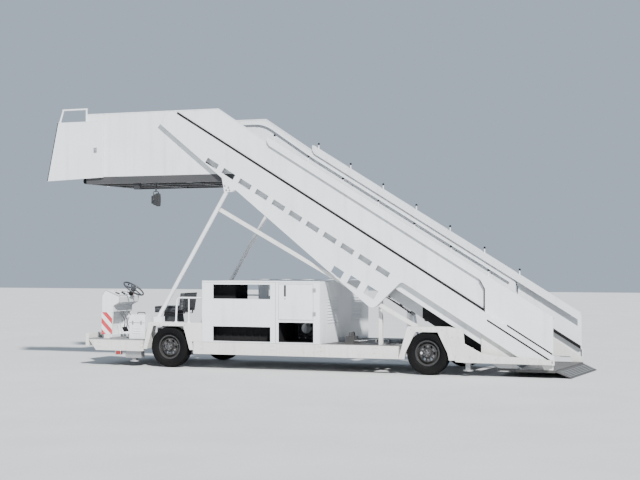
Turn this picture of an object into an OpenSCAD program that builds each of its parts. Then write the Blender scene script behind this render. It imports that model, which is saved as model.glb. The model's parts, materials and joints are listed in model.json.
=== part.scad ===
// Self-propelled passenger stairs: a two-axle chassis with an open driver's place,
// fixed outer trusses on struts, and an upper flight with a platform that slides
// along the slope. X runs along the machine (platform end at -X), Y to its right
// side, Z up from the ground.

/* [Chassis] */
// Distance between the axles
wheelbase = 4500; // [4400:10:4700]
// Front axle to the front edge of the platform guards
front_reach = 2420; // [2380:10:2500]
// Rear axle to the tip of the foot flap
rear_reach = 2220; // [2180:10:2300]
// Front axle to the front face of the bumper
bumper_reach = 1580; // [1560:10:1640]
// Sills and wheel arches outside the trusses
sill_over = 70; // [66:1:90]
// Lower edge of the sills above the ground
sill_low = 240; // [225:5:255]
// Depth of the outer sills
sill_depth = 200; // [180:5:210]
// Width of the outer sills
sill_w = 60; // [40:5:62]
// Half distance between the main rails, inner faces
rail_half = 520; // [500:5:530]
// Width of each main rail
rail_w = 70; // [50:5:75]
// Depth of each main rail
rail_depth = 160; // [120:5:170]
// Wall of the main rails
rail_wall = 12; // [8:1:16]
// Width of the cross-members
cross_w = 60; // [40:5:80]
// Thickness of the deck and arch plates
plate_t = 20; // [12:1:22]

/* [Wheels] */
// Tyre outer diameter
tyre_d = 680; // [670:5:690]
// Tyre width
tyre_w = 230; // [200:5:240]
// Rim diameter
rim_d = 400; // [360:5:430]
// Wheel centre inside the sills' outer faces
wheel_inset = 140; // [135:5:150]
// Kingpin inside the wheel's centre
kingpin_inset = 180; // [170:5:190]
// Hub spindle diameter
spindle_d = 70; // [50:2:80]
// Kingpin diameter
kingpin_d = 30; // [24:1:36]

/* [Stairs] */
// Height of one riser
step_rise = 178; // [176:1:180]
// Depth of one going
step_going = 292; // [290:1:294]
// Risers from the ground to the platform floor
riser_count = 18; // [18:1:18]
// Rear edge of the platform floor, forward of the rear axle
platform_edge = 3320; // [3300:5:3340]
// Steps of the sliding upper flight
upper_count = 13; // [12:1:13]
// Steps of the fixed lower flight
lower_count = 8; // [7:1:8]
// Depth of one tread plate
tread_depth = 240; // [220:5:245]
// Thickness of one tread
tread_t = 30; // [24:1:32]
// Drop of the nosing lip under each tread
lip_drop = 20; // [10:1:24]
// Clear half width between the upper flight's sides
walk_half = 940; // [900:5:945]
// Thickness of the upper flight's side panels
side_t = 35; // [20:1:36]
// Upper flight's side panel above the nosing line, at right angles to it
side_rise = 715; // [700:5:730]
// Lower end of the side panels behind the rear axle
side_reach = 875; // [850:5:900]
// Gap between the side panels and the end panels at the foot
end_gap = 30; // [20:5:40]
// Clearance between the two flights, at right angles to the slope
flight_gap = 9; // [8:1:14]
// Lower flight's stringers inside the upper flight's side panels
lower_inset = 100; // [95:5:130]
// Thickness of the lower flight's stringers
lower_t = 40; // [20:1:45]
// Depth of the lower flight's stringers
lower_depth = 180; // [160:5:190]
// Trusses' foot end behind the first riser
foot_over = 350; // [340:5:370]

/* [Fixed trusses] */
// Gap between the side panels and the trusses' flanges
truss_gap = 20; // [18:1:24]
// Thickness of the truss web
web_t = 12; // [8:1:14]
// Reach of the truss flanges
flange_w = 55; // [48:1:56]
// Thickness of the truss flanges
flange_t = 10; // [6:1:14]
// Top edge of the trusses above the nosing line, at right angles to it
band_top = 306; // [296:1:316]
// Lower edge of the band above the nosing line
band_low = 5; // [0:1:10]
// Angle of the lower chord
chord_angle = 39; // [38:0.5:40]
// Guide channel's centre above the nosing line
guide_n = 120; // [110:1:130]
// Guide roller diameter
roller_d = 100; // [80:2:106]
// Length of the slots under the band
slot_len = 240; // [200:5:260]
// Width of the slots under the band
slot_w = 95; // [80:5:100]
// Distance between the slots along the slope
slot_pitch = 347; // [340:1:355]
// Strut tube diameter
strut_d = 70; // [60:1:70]
// Brace channel depth
brace_depth = 60; // [50:1:80]
// Brace channel width
brace_t = 40; // [30:1:44]

/* [Balustrade] */
// Top of the fixed handrails above the nosing line, at right angles to it
hand_top = 801; // [790:1:815]
// Depth of the handrail's side strips
hand_depth = 111; // [100:1:120]
// Thickness of the handrail's plates and the end panels
sheet_t = 12; // [8:1:14]
// Distance between the stanchion tops along the slope
stanchion_pitch = 700; // [600:10:800]
// Height of the stanchion tops above the handrail
stanchion_rise = 70; // [50:5:90]

/* [Platform] */
// Reach of the side guards ahead of the platform floor
guard_over = 760; // [700:10:780]
// Depth of the floor frame
deck_depth = 120; // [100:5:130]
// Thickness of the floor plate
floor_t = 30; // [20:1:34]
// Height of the side panels above the floor
panel_rise = 1080; // [1060:5:1090]
// Length of each sliding side guard
guard_len = 1100; // [1000:10:1110]
// Thickness of each side guard
guard_t = 30; // [20:1:34]
// Top of the guards' tube handles above the floor
guard_rise = 1180; // [1160:5:1190]
// Tube diameter of the guards' handles
handle_d = 30; // [24:1:34]

/* [Cabinet] */
// Front axle to the cabinet's front wall
cabinet_front = 630; // [600:10:660]
// Cabinet's rear wall to the rear axle
cabinet_rear = 1780; // [1740:10:1800]
// Height of the cabinet's roof above the ground
cabinet_top = 1440; // [1400:10:1460]
// Thickness of the cabinet's walls and roof
cabinet_t = 20; // [12:1:24]
// Gap round the cabinet door
door_gap = 6; // [5:1:9]

/* [Jacks] */
// Travel of the jack feet down to the ground
jack_stroke = 80; // [70:1:90]
// Width of the jack legs
jack_w = 70; // [60:1:74]
// Diameter of the jack feet
foot_d = 160; // [120:5:170]

/* [Hidden] */

// Clearance between pieces that rest on each other
seam = 0.3;
total_len = front_reach + wheelbase + rear_reach;
rx = total_len / 2 - rear_reach;
fx = rx - wheelbase;
slope = atan2(step_rise, step_going);
pitch = norm([step_going, step_rise]);
floor_z = step_rise * riser_count;
edge_x = rx - platform_edge;
guard_x = fx - front_reach;
deck_x = guard_x + guard_over;
deck_len = edge_x - deck_x;
truss_in = walk_half + side_t + truss_gap;
truss_half = truss_in + flange_w;
sill_half = truss_half + sill_over;
wheel_half = sill_half - wheel_inset;
kingpin_half = wheel_half - kingpin_inset;
lower_half = walk_half - lower_inset;
cab_x0 = fx + cabinet_front;
cab_x1 = rx - cabinet_rear;
door_bay = 780;
bay_split = cab_x1 - door_bay;
axle_z = tyre_d / 2;
rail_low = sill_low + sill_depth - rail_depth;
rail_top = sill_low + sill_depth;
rail_out = rail_half + rail_w;
kick = rail_depth + 15;
front_x = fx - bumper_reach;
sill_in = sill_half - sill_w;

// Plate between two Y values from an outline in the X-Z plane
module slab(y0, y1) {
    translate([0, y1, 0]) rotate([90, 0, 0]) linear_extrude(y1 - y0) children();
}

// The same plate on both sides, from inner to outer half width
module both(inner, outer) {
    slab(inner, outer) children();
    slab(-outer, -inner) children();
}

// Block from its lowest and highest corners
module block(low, high) {
    translate(low) cube([high[0] - low[0], high[1] - low[1], high[2] - low[2]]);
}

// The same block on both sides, its Y values given as half widths
module twin_block(low, high) {
    block(low, high);
    block([low[0], -high[1], low[2]], [high[0], -low[1], high[2]]);
}

// Round bar along Y at one point of the X-Z plane
module across(x, z, d, y0, y1) {
    translate([x, y1, z]) rotate([90, 0, 0]) cylinder(d = d, h = y1 - y0, $fn = 48);
}

// Round bar between two points of the X-Z plane, at one Y
module bar(p, q, y, d) {
    translate([p[0], y, p[1]]) rotate([0, atan2(q[0] - p[0], q[1] - p[1]), 0])
        cylinder(d = d, h = norm(q - p), $fn = 40);
}

// Height of the upper flight's nosing line at a place along the machine
function nose_z(x) = floor_z - (x - edge_x) * step_rise / step_going;
// Point on the slope: s runs down it from the platform edge, n at right angles to it
function on_slope(s, n) = [edge_x + s * cos(slope) + n * sin(slope),
    floor_z - s * sin(slope) + n * cos(slope)];
// Height of the line n at a place along the machine
function line_z(x, n) = nose_z(x) + n / cos(slope);
// Point of the line n at a place along the machine, or at a height
function line_at_x(x, n) = [x, line_z(x, n)];
function line_at_z(z, n) = [edge_x + (floor_z + n / cos(slope) - z) * step_going / step_rise, z];
// Slope distance of a point
function slope_s(p) = (p[0] - edge_x) * cos(slope) - (p[1] - floor_z) * sin(slope);

// The lower flight's nosing line lies under the upper treads' rear lower corners
tread_low = tread_t * cos(slope) + tread_depth * sin(slope);
lower_n = -(tread_low + flight_gap);
// The lower flight's first riser stands where its nosing line meets the ground
foot_riser_x = line_at_z(0, lower_n)[0];
foot_x = foot_riser_x + foot_over;
base_low = 85;
base_top = 125;
flap_hinge = [foot_x + 22, 98];
flap_barrel = 26;

// Outline of a rail with raised parts over the axles, from x0 to x1
kick_foot = 430;
kick_head = 290;
module rail_outline(x0, x1, low, depth) {
    polygon([[x0, low + depth], [x0, low],
        for (a = [fx, rx]) each [[a - kick_foot, low], [a - kick_head, low + kick],
            [a + kick_head, low + kick], [a + kick_foot, low]],
        [x1, low], [x1, low + depth],
        for (a = [rx, fx]) each [[a + kick_foot - 80, low + depth], [a + kick_head - 70, low + depth + kick],
            [a - kick_head + 70, low + depth + kick], [a - kick_foot + 80, low + depth]]]);
}

// Trapezoid outline of an arch over a wheel, half widths at its foot and top
module arch_form(x, foot, top, z0, z1) {
    polygon([[x - foot, z0], [x - top, z1], [x + top, z1], [x + foot, z0]]);
}
// The arch as a bent plate
module arch_outline(x, foot, top, z0, z1) {
    difference() {
        arch_form(x, foot, top, z0, z1);
        arch_form(x, foot - plate_t, top - plate_t * 0.7, z0 - 1, z1 - plate_t);
    }
}
// Face plate of an arch: its opening given as half widths at heights, from the foot up
module arch_face(x, foot, top, z0, z1, open) {
    difference() {
        arch_form(x, foot, top, z0, z1);
        polygon([for (p = open) [x - p[0], p[1]], for (i = [len(open) - 1:-1:0]) [x + open[i][0], open[i][1]]]);
    }
}

arch_z = 750;
face_t = 20;
front_arch_foot = 470;
front_arch_top = 370;
front_arch_low = sill_low + 60;
fender_in = sill_half - 280;
rear_arch_foot = 460;
rear_arch_top = 310;
// Openings of the arch faces: half width and height, from the foot up
front_open = [[400, front_arch_low - 1], [366, 410], [285, 690]];
rear_open = [[362, sill_low - 1], [340, 350], [180, 670]];

// Places of the cross-members along the frame
bearer_x = foot_riser_x - (lower_count + 0.5) * step_going;
tail_x = rx + 780;
cross_rows = [front_x + 270, fx - front_arch_foot - 30, fx + 620, bay_split - 40, cab_x1, bearer_x];
spring_reach = 400;
spring_w = 58;
spring_in = rail_out + 8;

module chassis_frame() color("gainsboro") {
    difference() {
        both(rail_half, rail_out) rail_outline(front_x + 60, tail_x, rail_low, rail_depth);
        // channel section, open to the middle
        both(rail_half - 1, rail_out - rail_wall)
            rail_outline(front_x + 59, tail_x + 1, rail_low + rail_wall, rail_depth - 2 * rail_wall);
    }
    // spring hangers on the rails
    for (a = [fx, rx], i = [-1, 1])
        twin_block([a + i * spring_reach - 25, rail_out, axle_z + 93 + seam],
            [a + i * spring_reach + 25, spring_in + spring_w, axle_z + 135]);
}

module cross_members() color("gainsboro") {
    for (x = cross_rows) {
        block([x - cross_w / 2, -rail_out + rail_wall, rail_low + 30],
            [x + cross_w / 2, rail_out - rail_wall, rail_top - 20]);
        twin_block([x - cross_w / 2, rail_out, rail_low + 30], [x + cross_w / 2, sill_in, rail_top - 20]);
    }
    // tail member under the rails' ends
    block([tail_x - cross_w, -sill_in, sill_low - 20], [tail_x, sill_in, rail_low]);
    // posts under the head of the lower flight's stringers
    both(lower_half - 50, lower_half)
        polygon([[bearer_x - 30, rail_top - 20 + seam], [bearer_x + 30, rail_top - 20 + seam],
            line_at_x(bearer_x + 30, lower_n - lower_depth - seam),
            line_at_x(bearer_x - 30, lower_n - lower_depth - seam)]);
}

// Top lines, below the rollers' run and behind it, and thickness of the cheek plates
cheek_n = [55, 200];
cheek_t = 12;
module sills() color("gainsboro") {
    both(sill_in, sill_half) {
        polygon([[front_x + 60, rail_top], [front_x + 200, sill_low + 20],
            [fx - front_arch_foot - seam, sill_low + 20], [fx - front_arch_foot - seam, rail_top]]);
        polygon([[fx + front_arch_foot + seam, sill_low], [rx - rear_arch_foot - seam, sill_low],
            [rx - rear_arch_foot - seam, rail_top], [fx + front_arch_foot + seam, rail_top]]);
        // tail plate, from the arch's full height down to the foot
        polygon([[rx + rear_arch_foot + 6 + seam, sill_low - 20], [rx + rear_arch_foot + seam, sill_low],
            [rx + rear_arch_top + seam, arch_z], [rx + 360, arch_z], [rx + 575, arch_z - 30],
            [rx + 600, 500], [rx + 870, 360], [rx + 1070, 325], [rx + 1450, 310],
            [foot_x - 20, 280], [foot_x - 20, sill_low - 30], [rx + 620, sill_low - 28]]);
    }
    // spacers between the tail plates and the trusses
    twin_block([foot_x - 220, truss_half + seam, foot_cut + 20], [foot_x - 120, sill_in, foot_cut + 80]);
    // cheek plates inside the trusses' feet, standing on the base plate
    both(truss_in - seam - cheek_t, truss_in - seam)
        polygon([[rx + 840, 300], line_at_x(rx + 840, cheek_n[0]), line_at_x(rx + 1000, cheek_n[0]),
            line_at_x(rx + 1000, cheek_n[1]), line_at_x(foot_x - 20, cheek_n[1]),
            [foot_x - 20, base_top + seam], [foot_x - 160, base_top + seam], [foot_x - 200, sill_low - 30],
            [rx + 1070, 230]]);
}

// Base plate under the foot of the lower flight
base_head = foot_riser_x - 250;
module foot_base() color("dimgray") {
    block([base_head, -truss_in + seam, base_low],
        [flap_hinge[0] - flap_barrel / 2 - seam, truss_in - seam, base_top]);
    block([foot_riser_x - 560, -lower_half, base_low], [base_head, lower_half, base_top]);
}

// Front deck, with a step up to the raised floor that carries the seat
deck_end = fx - front_arch_foot - seam;
module front_deck() color("gray") {
    block([front_x + 60, -sill_half, rail_top], [deck_end, sill_half, rail_top + plate_t]);
    block([deck_end - plate_t, -rail_out, rail_top + plate_t], [deck_end, rail_out, rail_top + kick]);
    block([deck_end - plate_t, -rail_out, rail_top + kick],
        [fx + kick_head - 75, rail_out, rail_top + kick + plate_t]);
}

// Bumper with a towing jaw of two ears bored for a cross pin, and marker boards at the deck's corners
tow_bore_d = 40;
tow_reach = 80;
tow_z = 400;
tow_half = 35;
board_x = front_x + 303;
board_len = 210;
board_low = 530;
board_top = 905;
board_t = 12;
module front_bumper() color("gainsboro") {
    slab(-sill_half, sill_half)
        polygon([[front_x, 330], [front_x + 60 - seam, 330], [front_x + 60 - seam, 550],
            [front_x + 20, 550], [front_x, 530]]);
    difference() {
        both(tow_half - 20, tow_half)
            polygon([[front_x + 1, tow_z - 60], [front_x + 1, tow_z + 60],
                [front_x - tow_reach, tow_z + 35], [front_x - tow_reach, tow_z - 35]]);
        across(front_x - tow_reach / 2, tow_z, tow_bore_d, -tow_half - 10, tow_half + 10);
    }
    both(sill_half - board_t - 8, sill_half - 8)
        polygon([[board_x, board_low], [board_x, board_top], [board_x + board_len, board_top],
            [board_x + board_len, board_low], [board_x + board_len - 50, board_low],
            [board_x + board_len - 50, rail_top + plate_t], [board_x + 50, rail_top + plate_t],
            [board_x + 50, board_low]]);
}

// Front fenders, each with a face plate and a side panel back to the cabinet
module front_fenders() color("gainsboro") {
    both(fender_in, sill_half)
        arch_outline(fx, front_arch_foot, front_arch_top, front_arch_low, arch_z);
    both(sill_half - face_t, sill_half) {
        arch_face(fx, front_arch_foot, front_arch_top, front_arch_low, arch_z, front_open);
        polygon([[fx + front_arch_foot - 32, rail_top + seam], [cab_x0 - seam, rail_top + seam],
            [cab_x0 - seam, arch_z], [fx + front_arch_top, arch_z]]);
    }
}

module rear_arches() color("gainsboro") {
    both(lower_half + seam, sill_half)
        arch_outline(rx, rear_arch_foot, rear_arch_top, sill_low, arch_z);
    both(sill_half - face_t, sill_half)
        arch_face(rx, rear_arch_foot, rear_arch_top, sill_low, arch_z, rear_open);
}

// Leaf spring pack beside a rail, bowed down to the axle in the middle
spring_steps = 8;
module spring_pack(x) {
    reach = spring_reach / spring_steps;
    both(spring_in, spring_in + spring_w)
        polygon([for (i = [-spring_steps:spring_steps]) [x + i * reach, axle_z + 45 + 0.28 * i * i],
            for (i = [spring_steps:-1:-spring_steps])
                [x + i * reach, axle_z + 87 + 0.28 * i * i - abs(i) * 1.5]]);
}

module front_axle() color("dimgray") {
    across(fx, axle_z, 90, -kingpin_half + 62, kingpin_half - 62);
    spring_pack(fx);
    // fork eyes round the kingpins
    for (side = [-1, 1]) {
        difference() {
            block([fx - 45, side * (kingpin_half - 25) - 50, axle_z - 80],
                [fx + 45, side * (kingpin_half - 25) + 50, axle_z + 80]);
            block([fx - 60, side * (kingpin_half + 5) - 55, axle_z - 52],
                [fx + 60, side * (kingpin_half + 5) + 55, axle_z + 52]);
        }
        translate([fx, side * kingpin_half, axle_z - 60]) cylinder(d = kingpin_d, h = 120, $fn = 40);
    }
}

spindle_end = wheel_half + 94;
module rear_axle() color("dimgray") {
    across(rx, axle_z, 100, -wheel_half + tyre_w / 2 + 20, wheel_half - tyre_w / 2 - 20);
    across(rx, axle_z, 240, -90, 90);
    spring_pack(rx);
    across(rx, axle_z, spindle_d, wheel_half - tyre_w / 2 - 30, spindle_end);
    across(rx, axle_z, spindle_d, -spindle_end, -wheel_half + tyre_w / 2 + 30);
}

module knuckle(side) color("dimgray") {
    y = side * kingpin_half;
    difference() {
        union() {
            translate([fx, y, axle_z - 52 + seam]) cylinder(d = 60, h = 104 - 2 * seam, $fn = 40);
            // steering arm
            block([fx, y - 16, axle_z - 48], [fx + 170, y + 16, axle_z - 22]);
        }
        translate([fx, y, axle_z - 60]) cylinder(d = kingpin_d + 0.1, h = 120, $fn = 40);
    }
    across(fx, axle_z, spindle_d, side > 0 ? y + 24 : -spindle_end, side > 0 ? spindle_end : y - 24);
}
module knuckle_left() knuckle(-1);
module knuckle_right() knuckle(1);

// Tyre with rounded shoulders and beads that meet the rim
module tyre(x, side) color("black")
    translate([x, side * wheel_half, axle_z]) rotate([90, 0, 0])
        rotate_extrude($fn = 56) polygon([
            [rim_d / 2 + 1, -tyre_w * 0.36], [rim_d / 2 + 40, -tyre_w * 0.46],
            [tyre_d / 2 - 70, -tyre_w / 2], [tyre_d / 2 - 22, -tyre_w * 0.46],
            [tyre_d / 2, -tyre_w * 0.36], [tyre_d / 2, tyre_w * 0.36],
            [tyre_d / 2 - 22, tyre_w * 0.46], [tyre_d / 2 - 70, tyre_w / 2],
            [rim_d / 2 + 40, tyre_w * 0.46], [rim_d / 2 + 1, tyre_w * 0.36]]);
module tyre_front_left() tyre(fx, -1);
module tyre_front_right() tyre(fx, 1);
module tyre_rear_left() tyre(rx, -1);
module tyre_rear_right() tyre(rx, 1);

// Rim: barrel, dished disc with hand holes, and a hub closed over the spindle
module rim(x, side) color("darkslategray")
    translate([x, side * wheel_half, axle_z]) rotate([side * 90, 0, 0]) difference() {
        rotate_extrude($fn = 56) polygon([
            [0, -112], [spindle_d / 2 + 24, -112], [spindle_d / 2 + 30, -104],
            [spindle_d / 2 + 30, -60], [rim_d * 0.34, -62], [rim_d * 0.40, -30],
            [rim_d / 2 - 22, -24], [rim_d / 2 - 22, -tyre_w * 0.36], [rim_d / 2 + 1, -tyre_w * 0.36],
            [rim_d / 2 + 1, tyre_w * 0.36], [rim_d / 2 - 22, tyre_w * 0.36], [rim_d / 2 - 22, -4],
            [rim_d * 0.38, -10], [rim_d * 0.32, -42], [spindle_d / 2 + 30, -40],
            [spindle_d / 2 + 30, -30], [spindle_d / 2 + 0.08, -30], [spindle_d / 2 + 0.08, -95],
            [0, -95]]);
        for (a = [0:60:300]) rotate([0, 0, a]) translate([rim_d * 0.27, 0, -80])
            cylinder(d = 44, h = 60, $fn = 24);
    }
module rim_front_left() rim(fx, -1);
module rim_front_right() rim(fx, 1);
module rim_rear_left() rim(rx, -1);
module rim_rear_right() rim(rx, 1);

// Driver's place on the left of the front deck
deck_z = rail_top + plate_t;
console_x = front_x + 110;
console_half = 330;
driver_y = -430;
column_tilt = 35;
wheel_at = [console_x + 430, 1290];
column_u = [sin(column_tilt), cos(column_tilt)];
column_low = wheel_at - 180 * column_u;
module console() color("gainsboro") {
    difference() {
        slab(driver_y - console_half, driver_y + console_half)
            polygon([[console_x, deck_z], [console_x + 190, deck_z], [console_x + 215, 1000],
                [console_x + 330, 1060], [console_x + 350, 1160], [console_x + 70, 1270],
                [console_x, 1180]]);
        // open locker facing the driver
        block([console_x + 25, driver_y - console_half + 25, deck_z + 40],
            [console_x + 260, driver_y + console_half - 25, 900]);
    }
    // steering column
    bar(column_low, wheel_at - column_u * (22 + seam), driver_y, 50);
}

module steering_wheel() color("black")
    translate([wheel_at[0], driver_y, wheel_at[1]]) rotate([0, column_tilt, 0]) {
        rotate_extrude($fn = 56) translate([190, 0]) circle(d = 28, $fn = 20);
        for (a = [0, 120, 240]) rotate([0, 0, a]) translate([0, -12, -10]) cube([190, 24, 16]);
        translate([0, 0, -22]) cylinder(d = 80, h = 44, $fn = 40);
    }

// Battery box with a rounded front edge
battery_x = console_x + 700;
battery_len = 300;
battery_top = 870;
module battery_box() color("gainsboro")
    slab(-sill_half + 60, -sill_half + 360)
        polygon([[battery_x, deck_z], [battery_x + battery_len, deck_z], [battery_x + battery_len, battery_top],
            for (a = [0:15:90]) [battery_x + 60 - 60 * sin(a), battery_top - 60 + 60 * cos(a)]]);

pedestal_z = rail_top + kick + plate_t;
seat_x = fx - 260;
seat_half = 240;
seat_low = 890;
seat_top = 1240;
module seat_pedestal() color("dimgray")
    slab(driver_y - 140, driver_y + 140)
        polygon([[seat_x - 150, pedestal_z], [seat_x + 150, pedestal_z], [seat_x + 110, seat_low], [seat_x - 110, seat_low]]);

module seat_cushion() color("darkslategray")
    block([seat_x - 260, driver_y - seat_half, seat_low + seam], [seat_x + 200, driver_y + seat_half, seat_low + 110]);

module seat_back() color("darkslategray")
    slab(driver_y - seat_half, driver_y + seat_half)
        polygon([[seat_x + 200 + seam, seat_low + 30], [seat_x + 280, seat_low + 30],
            [seat_x + 330, seat_top], [seat_x + 248, seat_top]]);

// Cabinet across the machine: walls with open bays, a floor and a roof
cab_in = sill_half - cabinet_t;
bay_x0 = cab_x0 + 200;
bay_x1 = bay_split - 80;
door_x0 = bay_split + 60;
door_x1 = cab_x1 - 110;
bay_z0 = rail_top + cabinet_t;
door_z0 = 820;
door_z1 = 1400;
module cabinet() color("gainsboro") {
    both(cab_in, sill_half) difference() {
        polygon([[cab_x0, rail_top], [cab_x1, rail_top], [cab_x1, cabinet_top - cabinet_t],
            [cab_x0, cabinet_top - cabinet_t]]);
        // bay 1: window above, panel, opening below
        polygon([[bay_x0, 1150], [bay_x1, 1150], [bay_x1, 1385], [bay_x0, 1385]]);
        polygon([[bay_x0, bay_z0], [bay_x1, bay_z0], [bay_x1, 700], [bay_x0, 700]]);
        // bay 2: door opening above, machinery opening below
        polygon([[door_x0, door_z0], [door_x1, door_z0], [door_x1, door_z1], [door_x0, door_z1]]);
        polygon([[door_x0, bay_z0], [door_x1, bay_z0], [door_x1, door_z0 - 40], [door_x0, door_z0 - 40]]);
    }
    block([cab_x0, -sill_half, cabinet_top - cabinet_t], [cab_x1, sill_half, cabinet_top]);
    // front and rear walls, and the floor, between the side frames
    block([cab_x0, -cab_in, rail_top], [cab_x0 + cabinet_t, cab_in, 760]);
    block([cab_x1 - cabinet_t, -cab_in, rail_top], [cab_x1, cab_in, cabinet_top - cabinet_t]);
    block([cab_x0 + cabinet_t, -cab_in, rail_top], [cab_x1 - cabinet_t, cab_in, rail_top + cabinet_t]);
    // fixed panel of the right side where the left has its door
    block([door_x0, cab_in, door_z0], [door_x1, sill_half, door_z1]);
}

// Door on pivot pins at its rear corners
door_pivot = door_x1 - door_gap - 30;
module cabinet_door() color("gainsboro") {
    block([door_x0 + door_gap, -sill_half, door_z0 + door_gap],
        [door_x1 - door_gap, -sill_half + cabinet_t, door_z1 - door_gap]);
    translate([door_pivot, -sill_half + cabinet_t / 2, door_z0 + seam])
        cylinder(d = 12, h = door_z1 - door_z0 - 2 * seam, $fn = 24);
}

module engine_block() color("dimgray")
    block([door_x0 + 30, -380, rail_top + cabinet_t], [door_x1 - 20, 380, 1080]);

// Fixed truss: a band along the slope with a deep tapered web under it
foot_cut = 200;
truss_head_x = rx - 4480;
chord_foot = [rx - 910, 1000];
function chord_z(x) = chord_foot[1] + (chord_foot[0] - x) * tan(chord_angle);
end_top = line_at_x(rx - 430, band_low);
chord_head = [rx - 4720, chord_z(rx - 4720)];
// Slots under the band: first one, count and their line at the top and at the foot
slot_first = slope_s(line_at_x(rx - 3690, 0));
slot_count = 11;
slot_line = [-65, -25];
// Windows near the lower end: the lowest one's centre and the step to the next
window_at = [rx - 940, 1275];
window_step = [-285, 152.5];
window_len = 200;
window_w = 150;
// Corner b between a and c, rounded from a distance d before it to d behind it
function unit(v) = v / norm(v);
function round_corner(a, b, c, d) = [for (t = [0:0.2:1])
    (1 - t) * (1 - t) * (b + d * unit(a - b)) + 2 * t * (1 - t) * b + t * t * (b + d * unit(c - b))];
truss_points = concat([line_at_x(truss_head_x, band_top), line_at_x(foot_x, band_top), [foot_x, foot_cut],
    line_at_z(foot_cut, band_low)], round_corner(line_at_z(foot_cut, band_low), end_top, chord_foot, 60),
    round_corner(end_top, chord_foot, chord_head, 110), [chord_head]);
// Outline a distance t inside another one that runs clockwise
function inward(a, b) = [unit(b - a)[1], -unit(b - a)[0]];
function inset(o, t) = [for (i = [0:len(o) - 1])
    let (m = inward(o[(i + len(o) - 1) % len(o)], o[i]), n = inward(o[i], o[(i + 1) % len(o)]))
    o[i] + t * (m + n) / (1 + m * n)];
// Flange strip of thickness t along a line, on its left when seen from p to q
module strip(p, q, t) {
    u = (q - p) / norm(q - p);
    m = [-u[1], u[0]];
    polygon([p, q, q + t * m, p + t * m]);
}
module trusses() color("white") {
    both(truss_half - web_t, truss_half) difference() {
        polygon(truss_points);
        for (k = [0:slot_count - 1]) {
            n = slot_line[0] + (slot_line[1] - slot_line[0]) * k / (slot_count - 1);
            translate(on_slope(slot_first + k * slot_pitch, n)) rotate(-slope)
                square([slot_len, slot_w], center = true);
        }
        for (k = [0:2])
            translate(window_at + k * window_step) rotate(-slope)
                square([window_len, window_w], center = true);
    }
    both(truss_in, truss_half - web_t) {
        // flange all round the web
        difference() {
            polygon(truss_points);
            polygon(inset(truss_points, flange_t));
        }
        // guide channel
        for (n = [guide_n + roller_d / 2 + 1, guide_n - roller_d / 2 - flange_t - seam])
            strip(line_at_x(truss_head_x + 100, n), line_at_x(rx + 900, n), flange_t);
    }
}

// Fixed handrail channel, open below, over the side panels' top edges
hand_head_x = rx - 2750;
hand_in = walk_half - 25;
hand_out = walk_half + side_t + 33;
hand_foot = line_at_x(foot_x - 20, hand_top);
hand_round = 80;
module handrails() color("white") {
    for (r = [[hand_in, hand_in + 10], [hand_out - sheet_t, hand_out]])
        both(r[0], r[1])
            polygon([line_at_x(hand_head_x, hand_top), hand_foot, line_at_x(foot_x - 20, hand_top - hand_depth),
                line_at_x(hand_head_x + 40, hand_top - hand_depth), line_at_x(hand_head_x, hand_top - hand_depth + 30)]);
    both(hand_in + 10, hand_out - sheet_t)
        strip(line_at_x(hand_head_x, hand_top - 10), line_at_x(foot_x - 20, hand_top - 10), 10);
    // stanchion tops
    for (i = [0:6]) {
        p = on_slope(slope_s(line_at_x(hand_head_x, hand_top)) + 120 + i * stanchion_pitch, hand_top);
        twin_block([p[0], hand_in + 25, p[1] - 12], [p[0] + 16, hand_in + 41, p[1] + stanchion_rise]);
    }
}

// Fixed end panel of the lower flight, standing on the band
end_panel_x = rx + side_reach + end_gap;
module end_panels() color("white")
    both(truss_in, hand_out)
        polygon([line_at_x(end_panel_x, band_top + seam), line_at_x(foot_x - 20, band_top + seam),
            line_at_x(foot_x - 20, hand_top - hand_depth - seam),
            line_at_x(end_panel_x - hand_round, hand_top - hand_depth - seam),
            line_at_x(end_panel_x, hand_top - hand_depth - seam - hand_round)]);

// Struts from the front wheel arches to the lower chords
strut_half = truss_in - 10 + strut_d / 2;
strut_foot = [fx - 230, arch_z + 80];
strut_head = [rx - 3430, chord_z(rx - 3430) - 70];
module struts() color("white")
    for (side = [-1, 1]) {
        y = side * strut_half;
        bar(strut_foot, strut_head, y, strut_d);
        block([strut_foot[0] - 70, y - 45, arch_z], [strut_foot[0] + 90, y + 45, arch_z + 90]);
        // head plate under the chord
        slab(y - strut_d / 2, y + strut_d / 2)
            polygon([strut_head + [-70, -70], strut_head + [60, -70],
                [strut_head[0] + 130, chord_z(strut_head[0] + 130) - seam / cos(chord_angle)],
                [strut_head[0] - 110, chord_z(strut_head[0] - 110) - seam / cos(chord_angle)]]);
    }

// Braces inside the struts, from them back to the rear wheel arches
brace_in = strut_half - strut_d / 2 - seam - brace_t;
brace_head = strut_foot + (strut_head - strut_foot) * 0.84;
brace_foot = [rx - rear_arch_top + 20, arch_z + 40];
module braces() color("gainsboro")
    both(brace_in, brace_in + brace_t) {
        u = (brace_foot - brace_head) / norm(brace_foot - brace_head);
        m = [-u[1], u[0]] * brace_depth / 2;
        polygon([brace_head - m, brace_foot - m - u * 60, [brace_foot[0] + 10, arch_z + seam],
            [brace_foot[0] + 110, arch_z + seam], [brace_foot[0] + 80, arch_z + 40], brace_foot + m,
            brace_head + m]);
    }

// Fixed lower flight: stringers on the base plate and the posts, and the steps between them
module lower_stringers() color("silver") {
    x_top = bearer_x - 40;
    both(lower_half - lower_t, lower_half)
        polygon([line_at_x(x_top, lower_n), line_at_z(base_top, lower_n),
            line_at_z(base_top, lower_n - lower_depth), line_at_x(x_top, lower_n - lower_depth)]);
}

// Step plate with a nosing lip, its nosing at one point
module step_plate(x, z, half) {
    block([x - tread_depth, -half, z - tread_t], [x, half, z]);
    block([x - 12, -half, z - tread_t - lip_drop], [x, half, z - tread_t]);
}

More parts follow.
